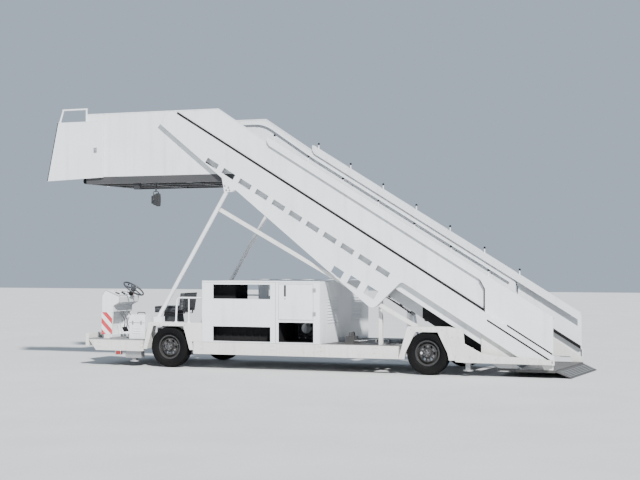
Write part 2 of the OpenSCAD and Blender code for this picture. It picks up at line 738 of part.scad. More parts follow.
module lower_steps() color("silver")
    for (j = [1:lower_count])
        step_plate(foot_riser_x - j * step_going, j * step_rise, lower_half - lower_t);

// Sliding upper flight: side panels from the platform to the seam near the foot
side_end_x = rx + side_reach;
side_low = -tread_low - 8;
joint_x = edge_x - 1100;
module flight_sides() color("white")
    both(walk_half, walk_half + side_t)
        polygon([[joint_x, floor_z + seam], [joint_x, floor_z + panel_rise],
            [edge_x - 330, floor_z + panel_rise], line_at_x(edge_x + 560, side_rise),
            line_at_x(side_end_x - 60, side_rise), line_at_x(side_end_x, side_rise - 70),
            line_at_x(side_end_x, side_low), line_at_x(edge_x + 130, side_low),
            [edge_x + seam, line_z(edge_x + 130, side_low)], [edge_x + seam, floor_z + seam]]);

module upper_steps() color("silver")
    for (k = [1:upper_count])
        step_plate(edge_x + k * step_going, floor_z - k * step_rise, walk_half);

module platform_deck() color("dimgray") {
    rail_y = walk_half + side_t;
    block([deck_x, -rail_y, floor_z - floor_t], [edge_x, rail_y, floor_z]);
    for (y = [-rail_y, -330, 250, rail_y - 80])
        block([deck_x, y, floor_z - deck_depth], [edge_x, y + 80, floor_z - floor_t]);
    for (i = [0:3]) {
        x = deck_x + i * (deck_len - 60) / 3;
        block([x, -walk_half, floor_z - deck_depth], [x + 60, walk_half, floor_z - floor_t]);
    }
}

module platform_panels() color("white")
    both(walk_half, walk_half + side_t)
        polygon([[deck_x, floor_z + seam], [deck_x, floor_z + panel_rise],
            [joint_x - seam, floor_z + panel_rise], [joint_x - seam, floor_z + seam]]);

module dock_bumper() color("black")
    block([deck_x - 90, -walk_half, floor_z - deck_depth + 10], [deck_x - seam, walk_half, floor_z - 10]);

// Side guard: a panel with a slanted front edge and a tube handle on top
guard_top = floor_z + 950;
guard_lean = 210;
guard_in = walk_half + side_t + 10;
module guard(side) color("white") {
    x1 = guard_x + guard_len;
    slab(side > 0 ? guard_in : -guard_in - guard_t, side > 0 ? guard_in + guard_t : -guard_in)
        polygon([[guard_x, floor_z - 54], [x1, floor_z - 10], [x1, guard_top], [guard_x + guard_lean, guard_top]]);
    // runner pads against the platform's side
    for (z = [floor_z + 30, guard_top - 90])
        slab(side > 0 ? walk_half + side_t + seam : -guard_in, side > 0 ? guard_in : -walk_half - side_t - seam)
            polygon([[x1 - 180, z], [x1 - 30, z], [x1 - 30, z + 60], [x1 - 180, z + 60]]);
    y = side * (guard_in + guard_t / 2);
    rise = floor_z + guard_rise - handle_d / 2;
    bar([guard_x + guard_lean + 30, guard_top - 10], [guard_x + 315, rise], y, handle_d);
    bar([guard_x + 775, guard_top - 10], [guard_x + 775, rise], y, handle_d);
    bar([guard_x + 300, rise], [guard_x + 790, rise], y, handle_d);
}
module guard_left() guard(-1);
module guard_right() guard(1);

// Rollers on the upper flight that run in the trusses' guide channels
module guide_rollers() color("dimgray")
    for (side = [-1, 1]) for (x = [rx - 2400, rx + 450]) {
        c = on_slope(slope_s(line_at_x(x, guide_n)), guide_n);
        translate([c[0], side * (walk_half + side_t + 30), c[1]]) rotate([90, 0, 0])
            cylinder(d = roller_d, h = 60, center = true, $fn = 40);
    }

// Lift cylinder under the steps, parallel to the slope
lift_n = -500;
barrel_d = 120;
rod_d = 70;
barrel_foot = slope_s(line_at_x(rx - 600, lift_n));
barrel_len = 1750;
rod_len = 2400;
module lift_barrel() color("silver") {
    difference() {
        bar(on_slope(barrel_foot, lift_n), on_slope(barrel_foot - barrel_len, lift_n), 0, barrel_d);
        bar(on_slope(barrel_foot - 60, lift_n), on_slope(barrel_foot - barrel_len - 1, lift_n), 0, rod_d + 0.2);
    }
    // pedestal between the rails
    slab(-60, 60) polygon([[rx - 680, rail_top - 60], [rx - 480, rail_top - 60],
        line_at_x(rx - 560, lift_n - barrel_d / 2 + 5), line_at_x(rx - 680, lift_n - barrel_d / 2 + 5)]);
    block([rx - 700, -rail_half, rail_top - 100], [rx - 460, rail_half, rail_top - 60]);
}

module lift_rod() color("silver") {
    bar(on_slope(barrel_foot - 600, lift_n), on_slope(barrel_foot - rod_len, lift_n), 0, rod_d);
    // eye plate up to a cross tube under the treads
    e = on_slope(barrel_foot - rod_len, lift_n);
    t = line_at_x(e[0], side_low - 40);
    slab(-50, 50) polygon([e + [-60, -60], e + [60, -60], t + [40, 0], t + [-40, 0]]);
    across(t[0], t[1], 70, -walk_half - side_t, walk_half + side_t);
    both(walk_half, walk_half + side_t)
        polygon([t + [-60, -30], t + [60, -30], line_at_x(t[0] + 60, side_low - seam),
            line_at_x(t[0] - 60, side_low - seam)]);
}

module work_lamp() color("black") {
    x = edge_x - 1540;
    y = -walk_half + 60;
    block([x - 15, y - 15, floor_z - deck_depth - 180], [x + 15, y + 15, floor_z - deck_depth]);
    block([x - 90, y - 110, floor_z - deck_depth - 440], [x + 70, y + 110, floor_z - deck_depth - 180]);
}

// Side lamps under the front sills
lamp_x = console_x + 470;
module lamps() color("darkred")
    twin_block([lamp_x, sill_half - 60, sill_low - 50], [lamp_x + 100, sill_half - 10, sill_low + 20 - seam]);

// Jack legs: housings inside the sills, feet that slide down to the ground
jack_rows = [fx - 690, rx + 640];
// Each row's housing length and lower edge
housings = [[300, 140], [120, 200]];
housing_w = jack_w + 50;
jack_y = sill_in - housing_w / 2 - seam;
jack_slack = 0.3;
module jack_housings() color("silver")
    for (i = [0, 1], side = [-1, 1]) difference() {
        x = jack_rows[i];
        block([x - housings[i][0] / 2, side * jack_y - housing_w / 2, housings[i][1]],
            [x + housings[i][0] / 2, side * jack_y + housing_w / 2, rail_top]);
        block([x - jack_w / 2 - jack_slack, side * jack_y - jack_w / 2 - jack_slack, housings[i][1] - 1],
            [x + jack_w / 2 + jack_slack, side * jack_y + jack_w / 2 + jack_slack, rail_top - 40]);
    }
module jack(x, side) color("dimgray") {
    block([x - jack_w / 2, side * jack_y - jack_w / 2, jack_stroke + 20],
        [x + jack_w / 2, side * jack_y + jack_w / 2, rail_top - 60]);
    translate([x, side * jack_y, jack_stroke]) cylinder(d = foot_d, h = 20, $fn = 40);
}
module jack_front_left() jack(jack_rows[0], -1);
module jack_front_right() jack(jack_rows[0], 1);
module jack_rear_left() jack(jack_rows[1], -1);
module jack_rear_right() jack(jack_rows[1], 1);

// Foot flap hinged on the base plate, its tip just off the ground
module foot_flap() color("silver") {
    across(flap_hinge[0], flap_hinge[1], flap_barrel, -walk_half, walk_half);
    slab(-walk_half, walk_half)
        polygon([flap_hinge + [0, flap_barrel / 2], [rx + rear_reach, 14], [rx + rear_reach, 6],
            flap_hinge - [0, flap_barrel / 2]]);
}

chassis_frame();
cross_members();
sills();
foot_base();
front_deck();
front_bumper();
front_fenders();
rear_arches();
front_axle();
rear_axle();
console();
steering_wheel();
battery_box();
seat_pedestal();
seat_cushion();
seat_back();
cabinet();
cabinet_door();
engine_block();
struts();
braces();
trusses();
end_panels();
handrails();
lower_stringers();
lower_steps();
lift_barrel();
lamps();
jack_housings();
foot_flap();
flight_sides();
upper_steps();
platform_deck();
platform_panels();
lift_rod();
work_lamp();
guide_rollers();
dock_bumper();
guard_left();
guard_right();
knuckle_left();
knuckle_right();
tyre_front_left();
tyre_front_right();
tyre_rear_left();
tyre_rear_right();
rim_front_left();
rim_front_right();
rim_rear_left();
rim_rear_right();
jack_front_left();
jack_front_right();
jack_rear_left();
jack_rear_right();
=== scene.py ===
import bmesh
import bpy
import json
import math
import numpy as np
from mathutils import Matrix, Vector


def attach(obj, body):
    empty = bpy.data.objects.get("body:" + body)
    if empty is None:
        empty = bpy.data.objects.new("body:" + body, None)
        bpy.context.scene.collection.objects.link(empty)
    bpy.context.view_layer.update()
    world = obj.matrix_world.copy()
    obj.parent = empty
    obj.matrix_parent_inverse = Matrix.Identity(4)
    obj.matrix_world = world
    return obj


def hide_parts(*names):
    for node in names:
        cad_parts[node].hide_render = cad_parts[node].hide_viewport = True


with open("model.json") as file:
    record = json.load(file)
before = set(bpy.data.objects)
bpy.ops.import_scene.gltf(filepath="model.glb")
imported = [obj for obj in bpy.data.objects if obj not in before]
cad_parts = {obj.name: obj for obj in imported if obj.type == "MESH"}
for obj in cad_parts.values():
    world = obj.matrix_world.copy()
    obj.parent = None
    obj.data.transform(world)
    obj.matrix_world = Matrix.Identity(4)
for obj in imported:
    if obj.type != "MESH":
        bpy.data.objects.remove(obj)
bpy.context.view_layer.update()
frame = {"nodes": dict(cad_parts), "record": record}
nodes = frame["nodes"]
print("frame loaded:", len(nodes), "nodes")

# where things are, in metres, as the solids have them; names in Y are distances from the middle
frontAxle, rearAxle, axleHeight, wheelY = -2.15, 2.35, 0.34, 0.98
deckEdge, deckTop, deckStart, deckJoint, guardFront = -0.97, 3.204, -3.81, -2.07, -4.57
rise, going, treadDepth, treadThick, upperSteps, lowerSteps = 0.178, 0.292, 0.24, 0.03, 13, 8
sillY, trussY, panelY, walkY, driverY = 1.12, 1.05, 0.975, 0.94, -0.43
sideEnd, railTop, archTop, seatX = 3.225, 0.44, 0.75, -2.41
cabinetFront, cabinetRear, cabinetTop = -1.52, 0.57, 1.44
slopeAngle = math.atan2(rise, going)
downSlope = np.array([math.cos(slopeAngle), 0.0, -math.sin(slopeAngle)])
offSlope = np.array([math.sin(slopeAngle), 0.0, math.cos(slopeAngle)])
# the lower flight starts where its nosing line meets the ground
flightGap = 0.009
lowerDrop = treadThick * math.cos(slopeAngle) + treadDepth * math.sin(slopeAngle) + flightGap
footRiser = deckEdge + (deckTop - lowerDrop / math.cos(slopeAngle)) * going / rise
footEnd = footRiser + 0.35
sides = (-1, 1)


def lineAt(x, n, y=0.0):
    # the point at the place x of the line n off the nosings
    return np.array([x, y, deckTop - (x - deckEdge) * rise / going + n / math.cos(slopeAngle)])


# shader helpers
def feed(tree, node, inputs):
    # a number or a colour is set on its socket, anything else is linked to it
    for key, value in inputs.items():
        socket = node.inputs[key]
        if isinstance(value, (int, float)):
            socket.default_value = value
        elif isinstance(value, tuple):
            socket.default_value = (*value, 1.0)[:len(socket.default_value)]
        else:
            tree.links.new(value, socket)
    return node


def newNode(tree, kind, inputs={}):
    return feed(tree, tree.nodes.new("ShaderNode" + kind), inputs)


def mathNode(tree, operation, a, b=0.5, clamp=False):
    node = newNode(tree, "Math")
    node.operation, node.use_clamp = operation, clamp
    return feed(tree, node, {0: a, 1: b}).outputs[0]


def times(tree, a, b, clamp=False):
    return mathNode(tree, "MULTIPLY", a, b, clamp)


def plus(tree, first, *others, clamp=False):
    for other in others:
        first = mathNode(tree, "ADD", first, other, clamp)
    return first


def mixColour(tree, factor, a, b):
    node = newNode(tree, "Mix")
    node.data_type = "RGBA"
    return feed(tree, node, {0: factor, 6: a, 7: b}).outputs[2]


def mapRange(tree, value, low, high, toLow=0.0, toHigh=1.0):
    return newNode(tree, "MapRange", {0: value, 1: low, 2: high, 3: toLow, 4: toHigh}).outputs[0]


def noiseAt(tree, vector, scale, detail, stretch=None):
    if stretch:
        vector = newNode(tree, "Mapping", {0: vector, "Scale": stretch}).outputs[0]
    return newNode(tree, "TexNoise", {"Vector": vector, "Scale": scale, "Detail": detail}).outputs["Fac"]


def newGroup(name, inputs, outputs):
    # None makes a colour socket, a number a float socket with that value; the group comes back with its
    # inputs, its output node and its coordinates
    group = bpy.data.node_groups.new(name, "ShaderNodeTree")
    for kind, sockets in (("INPUT", inputs), ("OUTPUT", outputs)):
        for label, value in sockets.items():
            socketType = "NodeSocketColor" if value is None else "NodeSocketFloat"
            made = group.interface.new_socket(name=label, in_out=kind, socket_type=socketType)
            if value is not None:
                made.default_value = value
    gin, out = group.nodes.new("NodeGroupInput"), group.nodes.new("NodeGroupOutput")
    return group, gin.outputs, out, newNode(group, "TexCoord").outputs


def axesOf(tree, vector):
    return newNode(tree, "SeparateXYZ", {0: vector}).outputs


def dirtAndCornerShadeGroup():
    # road dirt that thickens downwards, rain streaks, and painted shade that darkens corners and creases,
    # found by ambient occlusion
    g, gin, out, coord = newGroup("dirtAndCornerShade", {
        "Clean": None, "DirtAndShade": None, "Amount": 0.5, "Streaks": 0.3, "LowDirt": 0.5, "CornerShade": 0.5},
        {"Colour": None, "Mask": 0.0})
    spot = coord["Object"]
    cloud = mapRange(g, noiseAt(g, spot, 1.7, 5.0), 0.42, 0.75)
    fine = mapRange(g, noiseAt(g, spot, 38.0, 4.0), 0.35, 0.7, 0.55, 1.0)
    streak = mapRange(g, noiseAt(g, spot, 9.0, 3.0, (1.0, 1.0, 0.07)), 0.52, 0.78)
    low = mapRange(g, axesOf(g, spot)[2], 0.9, 0.1)
    # ambient occlusion finds the corners and creases, where the dirt colour is laid on as painted shade
    corner = newNode(g, "AmbientOcclusion", {"Distance": 0.09})
    corner.samples = 4
    occlusionShade = mapRange(g, corner.outputs["AO"], 0.85, 0.25)
    total = plus(g, times(g, cloud, gin["Amount"]), times(g, streak, gin["Streaks"]),
            times(g, low, gin["LowDirt"]), times(g, occlusionShade, gin["CornerShade"]))
    mask = times(g, total, fine, clamp=True)
    feed(g, out, {"Colour": mixColour(g, mask, gin["Clean"], gin["DirtAndShade"]), "Mask": mask})
    return g


def edgeWearGroup():
    # bright or dark chips along sharp edges, broken up by noise
    g, gin, out, coord = newGroup("edgeWear", {"Colour": None, "Worn": None, "Amount": 0.5, "Width": 0.004},
                                  {"Colour": None})
    bevel = newNode(g, "Bevel", {"Radius": gin["Width"]})
    bevel.samples = 4
    dot = newNode(g, "VectorMath", {0: bevel.outputs[0], 1: newNode(g, "NewGeometry").outputs["Normal"]})
    dot.operation = "DOT_PRODUCT"
    edge = mapRange(g, dot.outputs["Value"], 0.995, 0.9)
    chips = mapRange(g, noiseAt(g, coord["Object"], 60.0, 5.0), 0.48, 0.58)
    mask = times(g, times(g, edge, chips), gin["Amount"], clamp=True)
    feed(g, out, {"Colour": mixColour(g, mask, gin["Colour"], gin["Worn"])})
    return g


def paintSkinGroup():
    # the slight ripple of sprayed sheet, as a height
    g, gin, out, coord = newGroup("paintSkin", {"Fineness": 220.0}, {"Height": 0.0, "Rough": 0.0})
    peel = noiseAt(g, coord["Object"], gin["Fineness"], 1.0)
    wave = noiseAt(g, coord["Object"], 2.6, 1.0)
    feed(g, out, {"Height": plus(g, times(g, peel, 0.25), wave),
            "Rough": noiseAt(g, coord["Object"], 5.0, 4.0)})
    return g


def checkerPlateGroup():
    # raised lozenges on rolled plate: in each cell an ellipse lies along one diagonal, and along the other
    # in the cells beside it
    g, gin, out, coord = newGroup("checkerPlate", {"Pitch": 0.034}, {"Height": 0.0})
    axes = axesOf(g, coord["Object"])
    cells = [mathNode(g, "DIVIDE", axes[i], gin["Pitch"]) for i in (0, 1)]
    whole = [mathNode(g, "FLOOR", cell) for cell in cells]
    local = [mathNode(g, "SUBTRACT", mathNode(g, "FRACT", cell), 0.5) for cell in cells]
    parity = mathNode(g, "PINGPONG", plus(g, *whole), 1.0)
    tilted = times(g, local[1], mathNode(g, "SUBTRACT", times(g, parity, 2.0), 1.0))
    along = mathNode(g, "DIVIDE", plus(g, local[0], tilted), 0.62)
    over = mathNode(g, "DIVIDE", mathNode(g, "SUBTRACT", local[0], tilted), 0.22)
    far = plus(g, *[mathNode(g, "POWER", mathNode(g, "ABSOLUTE", v), 2.0) for v in (along, over)])
    # flat faces only: the pattern fades where the surface stands upright
    level = mapRange(g, mathNode(g, "ABSOLUTE", axesOf(g, coord["Normal"])[2]), 0.5, 0.8)
    feed(g, out, {"Height": times(g, mapRange(g, far, 1.1, 0.6), level)})
    return g


def diagonalBandsGroup():
    # two colours in slanting bands
    g, gin, out, coord = newGroup("diagonalBands", {"First": None, "Second": None, "Width": 0.1},
            {"Colour": None})
    axes = axesOf(g, coord["Object"])
    band = mathNode(g, "FRACT", mathNode(g, "DIVIDE", plus(g, axes[0], axes[2]), gin["Width"]))
    edge = mapRange(g, mathNode(g, "PINGPONG", band, 0.5), 0.24, 0.26)
    feed(g, out, {"Colour": mixColour(g, edge, gin["First"], gin["Second"])})
    return g


def leatherGroup():
    # the grain of coated cloth: rounded cells with creases between them
    g, gin, out, coord = newGroup("leatherGrain", {"Scale": 260.0}, {"Height": 0.0})
    cell = newNode(g, "TexVoronoi")
    cell.feature = "DISTANCE_TO_EDGE"
    feed(g, cell, {"Vector": coord["Object"], "Scale": gin["Scale"]})
    crease = mapRange(g, cell.outputs["Distance"], 0.0, 0.25)
    feed(g, out, {"Height": plus(g, crease, times(g, noiseAt(g, coord["Object"], 14.0, 3.0), 1.5))})
    return g


groups = {"dirtAndCornerShade": dirtAndCornerShadeGroup(), "edgeWear": edgeWearGroup(), "paintSkin": paintSkinGroup(),
        "checkerPlate": checkerPlateGroup(), "diagonalBands": diagonalBandsGroup(),
        "leatherGrain": leatherGroup()}


def useGroup(tree, name, inputs={}):
    node = newNode(tree, "Group")
    node.node_tree = groups[name]
    return feed(tree, node, inputs)


def startMaterial(name):
    material = bpy.data.materials.new(name)
    material.use_nodes = True
    return material, material.node_tree, material.node_tree.nodes["Principled BSDF"]


def paintedMaterial(name, look):
    # sprayed paint: clean colour, dirt and painted shade in the corners, worn edges, rippled skin, and a
    # pattern's height over it
    material, tree, shader = startMaterial(name)
    bands = look.get("bands")
    clean = useGroup(tree, "diagonalBands", bands).outputs["Colour"] if bands else look["clean"]
    dirtAndShade = useGroup(tree, "dirtAndCornerShade", {
        "Clean": clean, "DirtAndShade": look["dirtAndShade"], "Amount": look["amount"], "Streaks": look["streaks"],
        "LowDirt": look["lowDirt"], "CornerShade": look["corners"]}).outputs
    worn = useGroup(tree, "edgeWear", {
        "Colour": dirtAndShade["Colour"], "Worn": look["worn"], "Amount": look["chips"], "Width": look["edge"]})
    skin = useGroup(tree, "paintSkin", {"Fineness": look["skin"]}).outputs
    rough = mapRange(tree, skin["Rough"], 0.3, 0.7, look["rough"] - 0.06, look["rough"] + 0.06)
    bump = newNode(tree, "Bump", {"Distance": look["ripple"], "Height": skin["Height"], "Strength": 1.0})
    if look.get("pattern"):
        height = useGroup(tree, look["pattern"]).outputs["Height"]
        bump = newNode(tree, "Bump", {"Distance": look["relief"], "Height": height,
                "Normal": bump.outputs[0]})
    feed(tree, shader, {
        "Base Color": worn.outputs["Colour"], "Normal": bump.outputs[0], "Metallic": look["metal"],
        "Roughness": plus(tree, rough, times(tree, dirtAndShade["Mask"], 0.3), clamp=True),
        "Coat Weight": look["coat"], "Coat Roughness": 0.12, "Specular IOR Level": look["shine"]})
    return material


stripeBands = {"First": (0.55, 0.02, 0.035), "Second": (0.80, 0.80, 0.80), "Width": 0.19}
# the dirt colour also serves as painted shade in the corners; corners sets how strong that painted shade is
lookKeys = ("clean", "dirtAndShade", "worn", "amount", "streaks", "lowDirt", "corners", "chips", "edge", "skin",
        "rough", "coat", "metal", "ripple", "shine")
paintLooks = {name: dict(zip(lookKeys, row)) for name, row in {
    "white": ((0.80, 0.82, 0.84), (0.38, 0.36, 0.32), (0.35, 0.33, 0.31),
              0.16, 0.26, 0.26, 0.22, 0.35, 0.004, 240.0, 0.36, 0.25, 0.0, 0.0012, 0.5),
    "cream": ((0.75, 0.745, 0.72), (0.30, 0.275, 0.23), (0.22, 0.12, 0.07),
              0.20, 0.30, 0.30, 0.40, 0.6, 0.006, 200.0, 0.46, 0.1, 0.0, 0.0014, 0.5),
    "dark": ((0.026, 0.027, 0.030), (0.12, 0.11, 0.095), (0.20, 0.19, 0.18),
             0.22, 0.12, 0.22, 0.35, 0.5, 0.004, 260.0, 0.48, 0.05, 0.0, 0.001, 0.5),
    "alloy": ((0.56, 0.57, 0.58), (0.24, 0.22, 0.20), (0.75, 0.75, 0.76),
              0.35, 0.2, 0.3, 0.5, 0.8, 0.004, 320.0, 0.40, 0.0, 0.85, 0.0008, 0.5),
    "chrome": ((0.78, 0.78, 0.80), (0.30, 0.26, 0.20), (0.85, 0.85, 0.86),
               0.12, 0.05, 0.1, 0.3, 0.2, 0.002, 500.0, 0.14, 0.0, 1.0, 0.0002, 0.5),
    "tyre": ((0.005, 0.005, 0.0054), (0.035, 0.033, 0.030), (0.03, 0.03, 0.03),
             0.12, 0.0, 0.10, 0.2, 0.4, 0.006, 420.0, 0.78, 0.0, 0.0, 0.0006, 0.08),
    "vinyl": ((0.035, 0.037, 0.042), (0.14, 0.13, 0.12), (0.12, 0.12, 0.12),
              0.2, 0.0, 0.0, 0.3, 0.3, 0.004, 600.0, 0.52, 0.1, 0.0, 0.0008, 0.5),
    "redLens": ((0.28, 0.015, 0.012), (0.10, 0.07, 0.06), (0.4, 0.06, 0.05),
                0.2, 0.0, 0.1, 0.3, 0.1, 0.002, 300.0, 0.18, 0.6, 0.0, 0.0006, 0.5)}.items()}
paintLooks["vinyl"].update(pattern="leatherGrain", relief=0.0005)
checker = {"pattern": "checkerPlate", "relief": 0.0022}
for name, base, changes in (("treadPlate", "alloy", dict(checker, clean=(0.36, 0.37, 0.38),
        dirtAndShade=(0.15, 0.14, 0.125), metal=0.7, rough=0.5, amount=0.55)),
        ("darkPlate", "dark", dict(checker, clean=(0.07, 0.07, 0.073), rough=0.5, metal=0.3)),
        ("rubber", "tyre", dict(clean=(0.014, 0.014, 0.015), rough=0.66, skin=700.0)),
        ("hubSteel", "alloy", dict(clean=(0.12, 0.12, 0.125), dirtAndShade=(0.045, 0.04, 0.035), amount=0.6,
        metal=0.6, rough=0.5)), ("rimSteel", "dark", dict(clean=(0.02, 0.02, 0.022),
        dirtAndShade=(0.06, 0.055, 0.048))), ("stripes", "white", dict(amount=0.15, lowDirt=0.1, rough=0.3,
        bands=stripeBands)), ("gauge", "dark", dict(clean=(0.012, 0.012, 0.013), rough=0.2, coat=0.5)),
        ("clearLens", "chrome", dict(clean=(0.72, 0.74, 0.76), metal=0.35, rough=0.08, coat=0.8))):
    paintLooks[name] = dict(paintLooks[base], **changes)
finish = {name: paintedMaterial(name + "Finish", look) for name, look in paintLooks.items()}
print("finishes made:", len(finish))


def roundEdges(piece, width):
    rounding = piece.modifiers.new("rounding", "BEVEL")
    rounding.width, rounding.segments = width, 2
    rounding.limit_method, rounding.angle_limit = "ANGLE", math.radians(35)
    return rounding


# which finish each solid of the frame gets
slotFinish = {"white_paint": "white", "cream_paint": "cream", "dark_steel": "dark", "tread_alloy": "alloy",
              "bright_steel": "chrome", "tyre": "tyre", "rubber": "rubber", "seat_vinyl": "vinyl",
              "lamp_red": "redLens"}
# the dark plate on foot_flap and foot_base is painted shade under the stair's foot
ownFinish = {node: look for look, names in {
    "treadPlate": "upper_steps lower_steps front_deck", "darkPlate": "platform_deck foot_flap foot_base",
    "rimSteel": "rim_front_left rim_front_right rim_rear_left rim_rear_right",
    "vinyl": "steering_wheel"}.items() for node in names.split()}
# sheet-metal nodes get their sharp edges eased
easedNodes = ("console battery_box cabinet cabinet_door front_fenders rear_arches sills front_bumper trusses "
              "end_panels handrails flight_sides platform_panels guard_left guard_right jack_housings "
              "seat_pedestal engine_block foot_base").split()
for part in frame["record"]["subparts"]:
    name = part["node"]
    solid = nodes[name]
    solid.data.materials.clear()
    solid.data.materials.append(finish[ownFinish.get(name, slotFinish[part["material_slot"]])])
    if name in easedNodes:
        solid.modifiers.new("weld", "WELD").merge_threshold = 0.0001
        flatten = solid.modifiers.new("flatten", "DECIMATE")
        flatten.decimate_type, flatten.angle_limit = "DISSOLVE", math.radians(1)
        roundEdges(solid, 0.003)
print("solids finished")


# mesh helpers: a part is its points and a list of face arrays
def gridQuads(rows, columns, wrapRows=False, wrapColumns=False):
    # quads between the points of a grid, row after row
    r, c = np.meshgrid(np.arange(rows if wrapRows else rows - 1),
                       np.arange(columns if wrapColumns else columns - 1), indexing="ij")
    downR, nextC = (r + 1) % rows, (c + 1) % columns
    corners = [r * columns + c, r * columns + nextC, downR * columns + nextC, downR * columns + c]
    return np.stack(corners, -1).reshape(-1, 4)


def ringFaces(rings, around):
    # the skin over rings of points, and a flat face at each end
    i = np.arange(around)[None]
    return [gridQuads(rings, around, False, True), i[:, ::-1], i + (rings - 1) * around]


def joinParts(*parts):
    starts = np.cumsum([0] + [len(points) for points, faces in parts])
    points = np.concatenate([points for points, faces in parts])
    return points, [f + start for (p, faces), start in zip(parts, starts) for f in faces]


def repeat(part, places):
    # the same part once at each place
    points, faces = part
    places = np.asarray(places, float)
    spread = (places[:, None, :] + points[None]).reshape(-1, 3)
    steps = np.arange(len(places)) * len(points)
    return spread, [(f[None] + steps[:, None, None]).reshape(-1, f.shape[1]) for f in faces]


def moved(part, by):
    return part[0] + np.asarray(by, float), part[1]


def turned(part, axis, degrees, at=(0.0, 0.0, 0.0)):
    # the part turned about an axis through the origin, then moved
    points, faces = part
    a = math.radians(degrees)
    u = np.asarray(axis, float) / np.linalg.norm(axis)
    along = np.outer(points @ u, u) * (1 - math.cos(a))
    spun = points * math.cos(a) + np.cross(u, points) * math.sin(a) + along
    return spun + np.asarray(at, float), faces


def box(low, high):
    corners = np.array([[x, y, z] for x in (low[0], high[0]) for y in (low[1], high[1])
            for z in (low[2], high[2])])
    return corners, [np.array([[0, 1, 3, 2], [4, 6, 7, 5], [0, 4, 5, 1], [2, 3, 7, 6], [0, 2, 6, 4],
            [1, 5, 7, 3]])]


def prism(outline, y0, y1):
    # an outline of X and Z pairs, or of points, from one Y to another
    outline = np.asarray(outline, float)[:, [0, -1]]
    count = len(outline)
    rows = [np.column_stack([outline[:, 0], np.full(count, y), outline[:, 1]]) for y in (y0, y1)]
    i = np.arange(count)
    walls = np.stack([i, (i + 1) % count, (i + 1) % count + count, i + count], -1)
    return np.concatenate(rows), [walls, i[None, ::-1], i[None] + count]


def stripPart(start, end, below, above, y0, y1):
    # a strip along the slope between two lines off the nosings
    return prism([lineAt(start, below), lineAt(end, below), lineAt(end, above), lineAt(start, above)], y0, y1)


def smoothPath(corners, radius, steps=7):
    # straight runs joined by rounded corners
    corners = [np.asarray(c, float) for c in corners]
    path = [corners[0]]
    for before, at, after in zip(corners, corners[1:], corners[2:]):
        ins, outs = before - at, after - at
        ins, outs = at + ins / np.linalg.norm(ins) * radius, at + outs / np.linalg.norm(outs) * radius
        t = np.linspace(0, 1, steps)[:, None]
        path.extend((1 - t) ** 2 * ins + 2 * t * (1 - t) * at + t * t * outs)
    return np.array(path + [corners[-1]])


def tubeAlong(path, radius, across=(0, 1, 0), around=14):
    # a round tube: rings across the path, closed by flat ends
    path = np.asarray(path, float)
    tangent = np.gradient(path, axis=0)
    tangent /= np.linalg.norm(tangent, axis=1, keepdims=True)
    side = np.cross(tangent, across)
    side /= np.linalg.norm(side, axis=1, keepdims=True)
    up = np.cross(side, tangent)
    turn = np.linspace(0, 2 * math.pi, around, endpoint=False)[None, :, None]
    rings = path[:, None] + radius * (np.cos(turn) * side[:, None] + np.sin(turn) * up[:, None])
    return rings.reshape(-1, 3), ringFaces(len(path), around)


def bentTube(corners, bend, radius, across=(0, 1, 0), around=14, steps=7):
    return tubeAlong(smoothPath(corners, bend, steps), radius, across, around)


def lathe(profile, centre=(0, 0, 0), axis=(0, 1, 0), around=40, closed=False):
    # pairs of distance along the axis and radius, in millimetres, turned about it
    profile = np.asarray(profile, float) / 1000
    axis = np.asarray(axis, float) / np.linalg.norm(axis)
    first = np.cross(axis, (0.31, 0.2, 0.93))
    first /= np.linalg.norm(first)
    second = np.cross(axis, first)
    turn = np.linspace(0, 2 * math.pi, around, endpoint=False)[:, None, None]
    radial = np.cos(turn) * first + np.sin(turn) * second
    points = np.asarray(centre, float) + profile[None, :, :1] * axis + profile[None, :, 1:] * radial
    faces = [gridQuads(around, len(profile), True, closed)]
    if not closed:
        i = np.arange(around)[None] * len(profile)
        faces += [i[:, ::-1], i + len(profile) - 1]
    return points.reshape(-1, 3), faces


def hexHeads(spots, axis=(0, 1, 0), radius=12, height=9):
    # bolt heads on their washers, seated at the spots
    head = lathe([(0, radius), (height * 0.8, radius), (height, radius * 0.8)], axis=axis, around=6)
    washer = lathe([(0, radius * 1.45), (height * 0.2, radius * 1.45)], axis=axis, around=16)
    return repeat(joinParts(head, washer), spots)


def rivetHeads(spots, radius=6, axis=(0, 1, 0)):
    # low domes: their height follows a quarter circle
    a = np.linspace(0, math.pi / 2, 5)[:-1]
    dome = lathe(np.column_stack([np.sin(a) * radius * 0.5, np.cos(a) * radius]), axis=axis, around=10)
    return repeat(dome, spots)


slotOf = {look: slot for slot, look in slotFinish.items()}
slotOf.update(stripes="white_paint", clearLens="bright_steel", gauge="dark_steel", darkPlate="dark_steel",
              hubSteel="bright_steel")
pieceNames = []


def linked(name, mesh):
    piece = bpy.data.objects.new(name, mesh)
    bpy.context.scene.collection.objects.link(piece)
    return piece


def meshFrom(name, part):
    mesh = bpy.data.meshes.new(name)
    mesh.from_pydata(part[0].tolist(), [], [corner for f in part[1] for corner in f.tolist()])
    return mesh


def faceOut(mesh):
    # every face's normal turned outwards
    shape = bmesh.new()
    shape.from_mesh(mesh)
    bmesh.ops.recalc_face_normals(shape, faces=shape.faces)
    shape.to_mesh(mesh)
    shape.free()


def putMesh(name, look, *parts, body="chassis", bevel=0.0, smooth=38):
    mesh = meshFrom(name, joinParts(*parts))
    faceOut(mesh)
    mesh.materials.append(finish[look])
    mesh.shade_smooth()
    mesh.set_sharp_from_angle(angle=math.radians(smooth))
    piece = linked(name, mesh)
    if bevel:
        roundEdges(piece, bevel).harden_normals = True
    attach(piece, body)
    pieceNames.append(name)
    return piece


def putBoth(name, look, *parts, **rest):
    # the parts and their twins on the other side of the machine
    points, faces = joinParts(*parts)
    twin = points * np.array([1.0, -1.0, 1.0]), [f[:, ::-1] for f in faces]
    return putMesh(name, look, (points, faces), twin, **rest)


